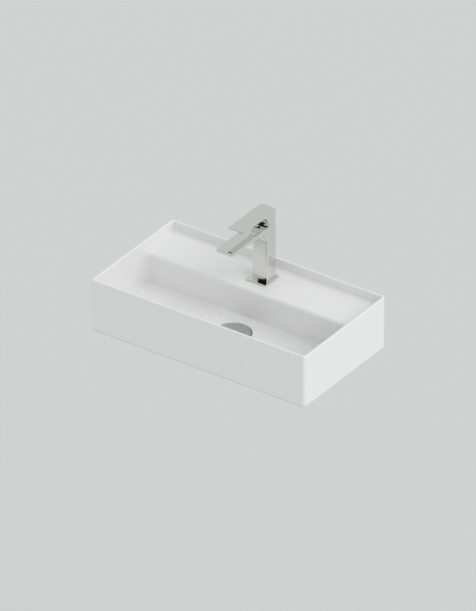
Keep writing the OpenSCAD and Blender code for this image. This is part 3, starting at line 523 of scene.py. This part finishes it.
def ramp(tree, source, span, result, x, y):
    """A value that goes over the result while the source goes over the span"""
    scale = node(tree, "ShaderNodeMapRange", x, y)
    set_inputs(scale, {"From Min": span[0], "From Max": span[1],
                       "To Min": result[0], "To Max": result[1]})
    tree.links.new(source, scale.inputs["Value"])
    return scale.outputs["Result"]


def combined(tree, operation, first, second, x, y):
    """The result of a math operation on two values"""
    made = node(tree, "ShaderNodeMath", x, y, operation=operation)
    tree.links.new(first, made.inputs[0])
    tree.links.new(second, made.inputs[1])
    return made.outputs["Value"]


def add_relief(tree, shader, source, strength, distance, x, y):
    """Bumps the surface of a shader"""
    bump = node(tree, "ShaderNodeBump", x, y)
    set_inputs(bump, {"Strength": strength, "Distance": distance})
    tree.links.new(source, bump.inputs["Height"])
    tree.links.new(bump.outputs["Normal"], shader.inputs["Normal"])


def unevenness_group():
    """Broad waves and a fine grain: a value from 0 to 1 and the height for a bump"""
    if "Surface unevenness" in bpy.data.node_groups:
        return bpy.data.node_groups["Surface unevenness"]
    tree, given, out = group_of(
        "Surface unevenness", {"Waves": 12.0, "Grain": 900.0, "Grain share": 0.3},
        {"Value": "NodeSocketFloat", "Height": "NodeSocketFloat"})
    link = tree.links.new
    place = node(tree, "ShaderNodeTexCoord", -600, -300)
    waves = node(tree, "ShaderNodeTexNoise", -300, 150)
    set_inputs(waves, {"Detail": 3.0})
    link(place.outputs["Object"], waves.inputs["Vector"])
    link(given.outputs["Waves"], waves.inputs["Scale"])
    grain = node(tree, "ShaderNodeTexNoise", -300, -150)
    set_inputs(grain, {"Detail": 2.0})
    link(place.outputs["Object"], grain.inputs["Vector"])
    link(given.outputs["Grain"], grain.inputs["Scale"])
    link(waves.outputs["Fac"], out.inputs["Value"])
    link(mixed(tree, given.outputs["Grain share"], waves.outputs["Fac"], grain.outputs["Fac"],
               100, 0), out.inputs["Height"])
    return tree


def unevenness(tree, waves, grain, share, x, y):
    """The shared unevenness in a material, with the scales of its waves and its grain"""
    made = node(tree, "ShaderNodeGroup", x, y, node_tree=unevenness_group())
    set_inputs(made, {"Waves": waves, "Grain": grain, "Grain share": share})
    return made


def plain_finish(name, colour, metallic, roughness, waves=30.0, grain=1500.0, share=0.5,
                 relief=0.02, depth=0.0002, tone=0.06):
    """A finish whose tone, roughness and relief vary a little over the surface"""
    if name in bpy.data.materials:
        return bpy.data.materials[name]
    material, tree, shader = new_material(name)
    link = tree.links.new
    uneven = unevenness(tree, waves, grain, share, -900, 0)
    value = uneven.outputs["Value"]
    link(toned(tree, value, colour, 1 - tone, 1 + tone, -400, 200), shader.inputs["Base Color"])
    link(ramp(tree, value, NOISE_SPAN, roughness, -400, -50), shader.inputs["Roughness"])
    set_inputs(shader, {"Metallic": metallic})
    add_relief(tree, shader, uneven.outputs["Height"], relief, depth, -300, -300)
    return material


def bare_mask(tree, place):
    """1 where the ceramic was ground and has no glaze: the foot, and the back under the rim"""
    split = node(tree, "ShaderNodeSeparateXYZ", -1100, -300)
    tree.links.new(place, split.inputs["Vector"])
    up, back = split.outputs["Z"], split.outputs["Y"]
    foot = ramp(tree, up, BARE_FOOT, (0.0, 1.0), -900, -200)
    rear = ramp(tree, back, BARE_BACK, (0.0, 1.0), -900, -450)
    under_rim = ramp(tree, up, BARE_UNDER_RIM, (0.0, 1.0), -900, -700)
    wall = combined(tree, "MULTIPLY", rear, under_rim, -800, -500)
    return combined(tree, "MAXIMUM", foot, wall, -700, -300)


def ceramic_finish():
    """White glaze with soft waves, bare and grainy where it was ground"""
    if "Glazed ceramic" in bpy.data.materials:
        return bpy.data.materials["Glazed ceramic"]
    colours = bpy.context.scene.washbasin_finishes
    material, tree, shader = new_material("Glazed ceramic")
    link = tree.links.new
    uneven = unevenness(tree, waves=9.0, grain=220.0, share=0.12, x=-1300, y=200)
    value = uneven.outputs["Value"]
    place = node(tree, "ShaderNodeTexCoord", -1300, -300).outputs["Object"]
    bare = bare_mask(tree, place)

    glaze = toned(tree, value, colours.glaze, low=0.985, high=1.012, x=-700, y=300)
    link(mixed(tree, bare, glaze, (*colours.bisque, 1), -400, 300, "RGBA"),
         shader.inputs["Base Color"])
    gloss = ramp(tree, value, NOISE_SPAN, GLAZE_ROUGHNESS, -700, 50)
    link(mixed(tree, bare, gloss, BARE_ROUGHNESS, -400, 0), shader.inputs["Roughness"])

    grain = node(tree, "ShaderNodeTexNoise", -700, -600)
    set_inputs(grain, {"Scale": 1600.0})
    link(place, grain.inputs["Vector"])
    relief = mixed(tree, bare, uneven.outputs["Height"], grain.outputs["Fac"], -400, -300)
    add_relief(tree, shader, relief, strength=0.05, distance=0.0006, x=-200, y=-300)
    set_inputs(shader, {"Coat Weight": 0.25, "Coat Roughness": 0.12})
    return material


def chrome_finish():
    chrome = bpy.context.scene.washbasin_finishes.chrome
    return plain_finish("Polished chrome", chrome, metallic=1.0, roughness=(0.012, 0.03),
                        waves=40.0, grain=400.0, share=0.1, relief=0.01, tone=0.01)


def satin_finish():
    satin = bpy.context.scene.washbasin_finishes.satin
    return plain_finish("Satin chrome", satin, metallic=1.0, roughness=(0.34, 0.40),
                        waves=60.0, grain=3000.0, share=0.6, relief=0.03, depth=0.00005, tone=0.02)


def finish_for(slot):
    """The finish of a CAD node, by its slot"""
    makers = {"chrome": chrome_finish, "satin_chrome": satin_finish,
              "glazed_white": ceramic_finish}
    if slot in makers:
        return makers[slot]()
    return plain_finish(**PLAIN_FINISHES[slot])


# The ceramic basin

def at_drain(z):
    """The point of the drain's axis at a height"""
    return DRAIN + Vector((0, 0, z))


def casting_places():
    """The sizes, the corners and the inner places that the steps of the casting share"""
    size = bpy.context.scene.washbasin_ceramic
    low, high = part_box("basin")
    return SimpleNamespace(size=size, low=low, high=high, ledge=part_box("tap_base_seal")[0].z,
                           in_x=high.x - size.wall, in_front=low.y + size.wall,
                           riser=high.y - size.wall - size.ledge_depth)


def build_ceramic():
    """The casting: tray, bowl, rounded ledge, drain and hollow underside"""
    at = casting_places()
    size = at.size
    basin = block("basin_ceramic", at.low, at.high)
    round_edges(basin, upright, size.outer_radius, steps=10)
    round_edges(basin, lambda e: along(e, Z, at.low.z), size.foot_round, steps=4)
    round_edges(basin, lambda e: along(e, Z, at.high.z), size.rim_round, steps=6)
    hollow_underside(basin, at)
    cut_tray_and_bowl(basin, at)
    round_ledge(basin, at)
    sink_drain(basin, at)
    drill_holes(basin, at)

    # The rim of the recess, where the floor ends
    drain_z = size.floor_z - size.floor_fall
    round_edges(basin, lambda e: along(e, Z, drain_z) and abs(
        (middle(e) - DRAIN).xy.length - size.recess_radius) < 5 * NEAR, RECESS_RIM_ROUND, steps=4)
    return finish_piece(basin, FIXED, "glazed_white", ceramic_finish(), "basin")


def hollow_underside(basin, at):
    """A hollow under the bowl, a bay under the ledge, and the drain's boss"""
    size = at.size
    side = at.high.x - FOOT
    bay_front = at.riser + BAY_WALL
    front, rear, under = at.low.y + FOOT, at.high.y - FOOT, at.low.z - PAST
    outline = [(front, under), (rear, under), (rear, BAY_TOP), (bay_front, BAY_TOP),
               (bay_front, FLOOR_UNDERSIDE), (front, FLOOR_UNDERSIDE)]
    hollow = draw("hollow", [(-side, y, z) for y, z in outline])
    thicken(hollow, (2 * side, 0, 0))
    round_by_weight(hollow, [
        (upright, size.hollow_radius),
        (lambda e: along(e, Z, BAY_TOP), size.hollow_cove),
        (lambda e: along(e, Z, FLOOR_UNDERSIDE) and not along(e, Y, bay_front),
         size.hollow_cove)], steps=6)
    join_or_cut(basin, hollow)
    boss = drum("boss", at_drain(BOSS_FOOT), at_drain(BOSS_TOP), BOSS_RADIUS)
    round_edges(boss, lambda e: along(e, Z, BOSS_FOOT), BOSS_ROUND, steps=4)
    join_or_cut(basin, boss, "UNION")


def cut_tray_and_bowl(basin, at):
    """The tray over the ledge, the rim's inner rounding, and the bowl in front of the ledge"""
    size = at.size
    tray = block("tray", (-at.in_x, at.in_front, at.ledge),
                 (at.in_x, at.high.y - size.wall, at.high.z + PAST))
    round_by_weight(tray, [(upright, size.inner_radius),
                           (lambda e: along(e, Z, at.ledge), size.ledge_cove)], steps=8)
    join_or_cut(basin, tray)
    round_edges(basin, lambda e: along(e, Z, at.high.z), size.rim_round, steps=6)

    over_cove = at.ledge + 0.012
    bowl = block("bowl", (-at.in_x, at.in_front, size.floor_z), (at.in_x, at.riser, over_cove))
    round_by_weight(bowl, [
        (lambda e: upright(e) and along(e, Y, at.riser), size.rear_radius),
        (lambda e: upright(e) and along(e, Y, at.in_front), size.inner_radius),
        (lambda e: along(e, Z, size.floor_z), size.bowl_cove)], steps=12)
    join_or_cut(basin, bowl)


def round_ledge(basin, at, graze=2e-5):
    """Rounds the ledge's front: a shelf is rounded along the bowl's outline, and what it leaves
    of a strip is cut away; the tools keep clear of the bowl's walls by a hair"""
    size = at.size
    side = at.in_x - graze
    shelf = block("shelf", (-at.high.x - 3 * PAST, at.riser - 4 * PAST, at.ledge - 3 * PAST),
                  (at.high.x + 3 * PAST, at.riser + 2 * PAST, at.ledge))
    plan = block("plan", (-side, at.riser - 8 * PAST, at.ledge - 5 * PAST),
                 (side, at.riser - graze, at.ledge + 2 * PAST))
    round_edges(plan, lambda e: upright(e) and along(e, Y, at.riser - graze),
                size.rear_radius - graze, steps=12)
    join_or_cut(shelf, plan)
    round_edges(shelf, lambda e: along(e, Z, at.ledge) and abs(middle(e).x) < at.in_x + NEAR
                and middle(e).y < at.riser + NEAR, size.ledge_round, steps=10)
    strip = block("strip", (-side, at.riser - 3.5 * PAST, at.ledge - 2 * PAST),
                  (side, at.riser + 1.5 * PAST, at.ledge))
    join_or_cut(strip, shelf)
    join_or_cut(basin, strip)


def floor_fall(at):
    """The shallow funnel between the foot of the coves and the drain's recess"""
    size = at.size
    edge = size.bowl_cove + FALL_MARGIN
    fall = block("fall", (edge - at.in_x, at.in_front + edge, size.floor_z),
                 (at.in_x - edge, at.riser - edge, size.floor_z + FALL_HEIGHT))
    round_edges(fall, upright, FALL_CORNER, steps=6)
    bm = edit(fall, "FACE")
    pick(fall, bm, bm.faces, lambda face: face.normal.z < NEAR - 1)
    bpy.ops.mesh.delete(type="FACE")
    bpy.ops.mesh.select_mode(type="EDGE")
    bpy.ops.mesh.primitive_circle_add(vertices=96, radius=size.recess_radius + FALL_RIM,
                                      location=at_drain(size.floor_z - size.floor_fall))
    bm = bmesh.from_edit_mesh(fall.data)
    pick(fall, bm, bm.edges, lambda e: e.is_boundary or e.is_wire)
    bpy.ops.mesh.bridge_edge_loops()
    bm = bmesh.from_edit_mesh(fall.data)
    pick(fall, bm, bm.edges, lambda e: e.is_boundary)
    bpy.ops.mesh.edge_face_add()
    bpy.ops.mesh.select_all(action="SELECT")
    bpy.ops.mesh.normals_make_consistent(inside=False)
    leave_edit()
    return fall


def sink_drain(basin, at):
    """The floor's fall to the drain, the recess that takes the cap, and the hole"""
    join_or_cut(basin, floor_fall(at))
    in_bowl = at_drain(at.size.floor_z + PAST)
    recess = drum("recess", at_drain(RECESS_FLOOR), in_bowl, at.size.recess_radius, sides=128)
    round_edges(recess, lambda e: along(e, Z, RECESS_FLOOR), RECESS_FOOT_ROUND, steps=4)
    join_or_cut(basin, recess)
    join_or_cut(basin, drum("hole", at_drain(BOSS_FOOT - PAST), in_bowl, DRAIN_HOLE_RADIUS))


def drill_holes(basin, at):
    """The tap hole through the ledge, and the two bolt holes through the back"""
    join_or_cut(basin, drum("tap_hole", (0, TAP_Y, BAY_TOP - PAST),
                            (0, TAP_Y, at.ledge + PAST), TAP_HOLE_RADIUS))
    for x in (-BOLT_X, BOLT_X):
        join_or_cut(basin, drum("bolt_hole", (x, -FOOT - PAST, 0), (x, PAST, 0),
                                BOLT_HOLE_RADIUS, sides=48))


# The tap and the waste

def bent_outline(tip, top, bend, radius, slope, rest, steps=14):
    """Points of a side view with a thin arm, a bend under it and what follows the bend's foot"""
    return [(tip[0], top), tip] + arc(bend, radius, 90 + math.degrees(slope), 0, steps) + rest


def bend_height(tip_z, run, radius, slope):
    """Height of a bend's centre, so that the arc ends on the arm's sloping underside"""
    return tip_z - (radius + run * math.sin(slope)) / math.cos(slope)


def build_tap_body():
    """The column, the spout and the spigot in one casting"""
    size = bpy.context.scene.washbasin_tap
    low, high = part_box("tap_body")
    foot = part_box("tap_base_plate")[1].z
    tip_z = high.z - size.tip
    bend_y = size.column_front - size.bend_radius
    bend_z = bend_height(tip_z, bend_y - low.y, size.bend_radius, size.slope)
    outline = bent_outline((low.y, tip_z), high.z, (bend_y, bend_z), size.bend_radius, size.slope,
                           [(size.column_front, foot), (high.y, foot), (high.y, high.z)])
    body = draw("tap_casting", [(low.x, y, z) for y, z in outline])
    thicken(body, (high.x - low.x, 0, 0))

    def front_and_underside(edge):
        """The edges of both sides up the column's front, round the bend and out to the tip"""
        place = middle(edge)
        if not along(edge, X, low.x) and not along(edge, X, high.x):
            return False
        if place.y > size.column_front + NEAR:
            return False
        if upright(edge):
            return place.y > bend_y and place.z < bend_z + 10 * NEAR
        return foot + NEAR < place.z < high.z - NEAR and place.y > low.y + 5 * NEAR

    round_edges(body, lambda e: upright(e) and along(e, Y, high.y), size.back_round, steps=8)
    round_edges(body, lambda e: upright(e) and along(e, Y, low.y), TIP_ROUND, steps=4)
    round_edges(body, front_and_underside, size.front_round, steps=8)
    round_edges(body, lambda e: along(e, Z, high.z), size.top_round, steps=3)
    spigot = drum("spigot", (0, TAP_Y, low.z), (0, TAP_Y, foot + SPIGOT_LAP), SPIGOT_RADIUS,
                  sides=64)
    round_edges(spigot, lambda e: along(e, Z, low.z), SPIGOT_ROUND, steps=2)
    join_or_cut(body, spigot, "UNION")
    bore_tap_body(body, low)
    return finish_piece(body, FIXED, "chrome", chrome_finish(), "tap_body")


def bore_tap_body(body, low):
    """The cartridge's bore, the aerator's, the two threaded ports and the stud's hole"""
    join_or_cut(body, drum("bore", (0, CARTRIDGE_Y, BORE_FLOOR), (0, CARTRIDGE_Y, BORE_TOP),
                           BORE_RADIUS))
    ring_low, ring_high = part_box("aerator_ring")
    ring_y = middle_y("aerator_ring")
    join_or_cut(body, drum("aerator_bore", (0, ring_y, ring_low.z - PAST),
                           (0, ring_y, ring_high.z + AERATOR_ROOM), AERATOR_BORE_RADIUS, sides=64))
    start, end = low.z - PAST, low.z + THREAD_DEPTH
    for name, x, y, radius in (("port", -PORT_X, PORT_Y, PORT_RADIUS),
                               ("port", PORT_X, PORT_Y, PORT_RADIUS),
                               ("stud_hole", 0, STUD_Y, STUD_HOLE_RADIUS)):
        join_or_cut(body, drum(name, (x, y, start), (x, y, end), radius, sides=48))


def build_lever():
    """The lever: a hub over the column and a thin blade over the spout"""
    size = bpy.context.scene.washbasin_tap
    low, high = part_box("lever")
    tip_z = high.z - size.blade
    bend_y = size.hub_front - size.hub_bend
    bend_z = bend_height(tip_z, bend_y - low.y, size.hub_bend, BLADE_SLOPE)
    rise = (high.y - CARTRIDGE_Y) * math.tan(HUB_SLOPE)
    outline = bent_outline((low.y, tip_z), high.z, (bend_y, bend_z), size.hub_bend, BLADE_SLOPE,
                           [(size.hub_front, low.z), (CARTRIDGE_Y, low.z),
                            (high.y, low.z + rise), (high.y, high.z)])
    lever = draw("lever_casting", [(low.x, y, z) for y, z in outline])
    thicken(lever, (high.x - low.x, 0, 0))
    round_edges(lever, lambda e: upright(e) and along(e, Y, high.y), size.back_round, steps=8)
    round_edges(lever, lambda e: upright(e) and along(e, Y, low.y), TIP_ROUND, steps=4)
    round_edges(lever, lambda e: along(e, Z, high.z), size.top_round, steps=3)

    def underside(edge):
        """The edges of both sides between the foot of the hub and the top's rounding"""
        on_side = along(edge, X, low.x) or along(edge, X, high.x)
        inside = low.z + 3 * NEAR < middle(edge).z < high.z - 15 * NEAR
        return on_side and inside and not upright(edge)

    round_edges(lever, underside, BLADE_ROUND, steps=2)
    join_or_cut(lever, block("socket", (-SOCKET_HALF, CARTRIDGE_Y - SOCKET_HALF, low.z - PAST),
                             (SOCKET_HALF, CARTRIDGE_Y + SOCKET_HALF, low.z + SOCKET_DEPTH)))
    plug_low, plug_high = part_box("lever_plug")
    plug_z = (plug_low.z + plug_high.z) / 2
    join_or_cut(lever, drum("plug_hole", (0, plug_low.y, plug_z), (0, high.y + PAST, plug_z),
                            PLUG_HOLE_RADIUS, sides=48))
    return finish_piece(lever, LEVER, "chrome", chrome_finish(), "lever")


def build_base_plate():
    """The plate round the foot of the column, with softened edges"""
    low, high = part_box("tap_base_plate")
    plate = block("base_plate", low, high)
    round_edges(plate, upright, PLATE_CORNER, steps=6)
    round_edges(plate, lambda e: along(e, Z, high.z), PLATE_ROUND, steps=3)
    join_or_cut(plate, drum("plate_hole", (0, TAP_Y, low.z - PAST), (0, TAP_Y, high.z + PAST),
                            PLATE_HOLE_RADIUS))
    return finish_piece(plate, FIXED, "chrome", chrome_finish(), "tap_base_plate")


def build_cap():
    """The cap of the waste: a flat disc with a rolled edge, on its boss"""
    low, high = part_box("waste_cap")
    radius = high.x
    under = high.z - CAP_THICKNESS
    roll = arc((radius - CAP_ROLL, high.z - CAP_ROLL), CAP_ROLL, 90, 0, 6)
    profile = [(0, high.z), (radius * 0.5, high.z)] + roll + [
        (radius, under + CAP_CHAMFER), (radius - CAP_CHAMFER, under), (CAP_BOSS_RADIUS, under),
        (CAP_BOSS_RADIUS, low.z + CAP_BOSS_CHAMFER), (CAP_BOSS_RADIUS - CAP_BOSS_CHAMFER, low.z),
        (CAP_BORE_RADIUS, low.z), (CAP_BORE_RADIUS, under), (0, under)]
    cap = turn("drain_cap", DRAIN, profile)
    return finish_piece(cap, CAP, "chrome", satin_finish(), "waste_cap")


def dress_frame():
    """Gives every CAD node that stays in view the finish of its slot"""
    slots = {part["node"]: part["material_slot"] for part in frame["record"]["subparts"]}
    for name, piece in frame["nodes"].items():
        piece.data.materials.clear()
        piece.data.materials.append(finish_for(slots[name]))


# The stage

def place_camera(stage):
    """A long lens far away, which gives the parallel view of the photo"""
    deselect()
    bpy.ops.object.camera_add()
    camera = bpy.context.object
    camera.name = "camera"
    camera.data.sensor_width = SENSOR
    camera.data.lens = LENS
    camera.data.clip_end = CAMERA_REACH
    azimuth, elevation = stage.azimuth, stage.elevation
    level = math.cos(elevation)
    back = Vector((math.sin(azimuth) * level, -math.cos(azimuth) * level, math.sin(elevation)))
    camera.location = Vector(stage.aim) + back * (stage.view_height * LENS / SENSOR)
    camera.rotation_mode = "QUATERNION"
    camera.rotation_quaternion = (-back).to_track_quat("-Z", "Y")
    bpy.context.scene.camera = camera


def dull_material(name, colour):
    """A material of the stage, without any gloss"""
    material, tree, shader = new_material(name)
    set_inputs(shader, {"Base Color": (*colour, 1), "Roughness": 0.9, "Specular IOR Level": 0.0})
    return material, tree, shader


def build_floor(stage, backdrop):
    """A wide floor that can't be seen from below"""
    deselect()
    bpy.ops.mesh.primitive_plane_add(size=FLOOR_WIDTH, location=(0, 0, stage.floor_z))
    floor = bpy.context.object
    floor.name = "floor"
    bpy.ops.object.transform_apply(location=True)
    material, tree, shader = dull_material("Pale floor", [c * stage.floor_share for c in backdrop])
    clear = node(tree, "ShaderNodeBsdfTransparent", 200, -200)
    faces = node(tree, "ShaderNodeNewGeometry", 0, 200)
    mix = node(tree, "ShaderNodeMixShader", 400, 0)
    output = tree.nodes["Material Output"]
    tree.links.new(faces.outputs["Backfacing"], mix.inputs[0])
    tree.links.new(shader.outputs["BSDF"], mix.inputs[1])
    tree.links.new(clear.outputs["BSDF"], mix.inputs[2])
    tree.links.new(mix.outputs["Shader"], output.inputs["Surface"])
    floor.data.materials.append(material)


def add_key_light(stage):
    """One broad, soft light from the right, which the metal doesn't show"""
    deselect()
    bpy.ops.object.light_add(type="SUN")
    sun = bpy.context.object
    sun.name = "soft_key"
    sun.data.angle = stage.key_width
    sun.data.energy = stage.key
    sun.visible_glossy = False
    sun.rotation_mode = "QUATERNION"
    sun.rotation_quaternion = Vector(stage.key_from).to_track_quat("Z", "Y")


def add_dark_card(stage):
    """A dark card beside the camera, which only the metal shows"""
    deselect()
    bpy.ops.mesh.primitive_plane_add(size=1)
    card = bpy.context.object
    card.name = "dark_card"
    way = Vector(stage.card_from).normalized()
    card.scale = (stage.card_size, stage.card_size, 1)
    card.rotation_mode = "QUATERNION"
    card.rotation_quaternion = way.to_track_quat("Z", "Y")
    side = Vector((0, 0, 1)).cross(way).normalized()
    rise = way.cross(side)
    half = stage.card_size / 2
    card.location = (way * stage.card_far + side * (half + stage.card_edge)
                     + rise * (half + stage.card_foot))
    bpy.ops.object.transform_apply(location=True, rotation=True, scale=True)
    card.visible_camera = False
    card.visible_diffuse = False
    card.visible_shadow = False
    card.data.materials.append(dull_material("Black card", CARD_COLOUR)[0])


def light_studio(stage, backdrop):
    """An even light from all round, in the colour of the backdrop"""
    world = bpy.data.worlds.new("Pale studio")
    bpy.context.scene.world = world
    world.use_nodes = True
    set_inputs(world.node_tree.nodes["Background"], {"Color": (*backdrop, 1),
                                                     "Strength": stage.studio})


def build_stage():
    """The camera, the floor and the lights"""
    scene = bpy.context.scene
    stage = scene.washbasin_stage
    backdrop = scene.washbasin_finishes.backdrop
    place_camera(stage)
    build_floor(stage, backdrop)
    add_key_light(stage)
    add_dark_card(stage)
    light_studio(stage, backdrop)
    scene.view_settings.view_transform = "Standard"


# The add-on

class WASHBASIN_OT_stage(Operator):
    """Set up the camera, the floor and the soft light"""
    bl_idname = "washbasin.stage"
    bl_label = "Stage"

    def execute(self, context):
        build_stage()
        return {"FINISHED"}


class WASHBASIN_OT_frame(Operator):
    """Give the construction's own parts their finishes"""
    bl_idname = "washbasin.frame"
    bl_label = "Finishes of the parts"

    def execute(self, context):
        dress_frame()
        return {"FINISHED"}


class WASHBASIN_OT_ceramic(Operator):
    """Model the ceramic basin"""
    bl_idname = "washbasin.ceramic"
    bl_label = "Ceramic basin"

    def execute(self, context):
        build_ceramic()
        return {"FINISHED"}


class WASHBASIN_OT_tap_body(Operator):
    """Model the tap's column and spout, and the plate round its foot"""
    bl_idname = "washbasin.tap_body"
    bl_label = "Tap body"

    def execute(self, context):
        build_tap_body()
        build_base_plate()
        return {"FINISHED"}


class WASHBASIN_OT_lever(Operator):
    """Model the lever"""
    bl_idname = "washbasin.lever"
    bl_label = "Lever"

    def execute(self, context):
        build_lever()
        return {"FINISHED"}


class WASHBASIN_OT_cap(Operator):
    """Model the cap of the waste"""
    bl_idname = "washbasin.cap"
    bl_label = "Cap of the waste"

    def execute(self, context):
        build_cap()
        return {"FINISHED"}


OPERATORS = (WASHBASIN_OT_stage, WASHBASIN_OT_frame, WASHBASIN_OT_ceramic,
             WASHBASIN_OT_tap_body, WASHBASIN_OT_lever, WASHBASIN_OT_cap)


class WASHBASIN_PT_panel(Panel):
    """Lists the pieces in the order in which they are built"""
    bl_idname = "WASHBASIN_PT_panel"
    bl_label = "Washbasin"
    bl_space_type = "VIEW_3D"
    bl_region_type = "UI"
    bl_category = "Washbasin"

    def draw(self, context):
        column = self.layout.column()
        for operator in OPERATORS:
            column.operator(operator.bl_idname)


CLASSES = (CeramicSizes, TapSizes, Finishes, StageSizes, *OPERATORS, WASHBASIN_PT_panel)


def register():
    for cls in CLASSES:
        bpy.utils.register_class(cls)
    bpy.types.Scene.washbasin_ceramic = PointerProperty(type=CeramicSizes)
    bpy.types.Scene.washbasin_tap = PointerProperty(type=TapSizes)
    bpy.types.Scene.washbasin_finishes = PointerProperty(type=Finishes)
    bpy.types.Scene.washbasin_stage = PointerProperty(type=StageSizes)


def unregister():
    for name in ("washbasin_ceramic", "washbasin_tap", "washbasin_finishes", "washbasin_stage"):
        delattr(bpy.types.Scene, name)
    for cls in reversed(CLASSES):
        bpy.utils.unregister_class(cls)


def main():
    register()
    bpy.ops.washbasin.stage()
    bpy.ops.washbasin.frame()
    bpy.ops.washbasin.ceramic()
    bpy.ops.washbasin.tap_body()
    bpy.ops.washbasin.lever()
    bpy.ops.washbasin.cap()


if __name__ == "__main__":
    main()
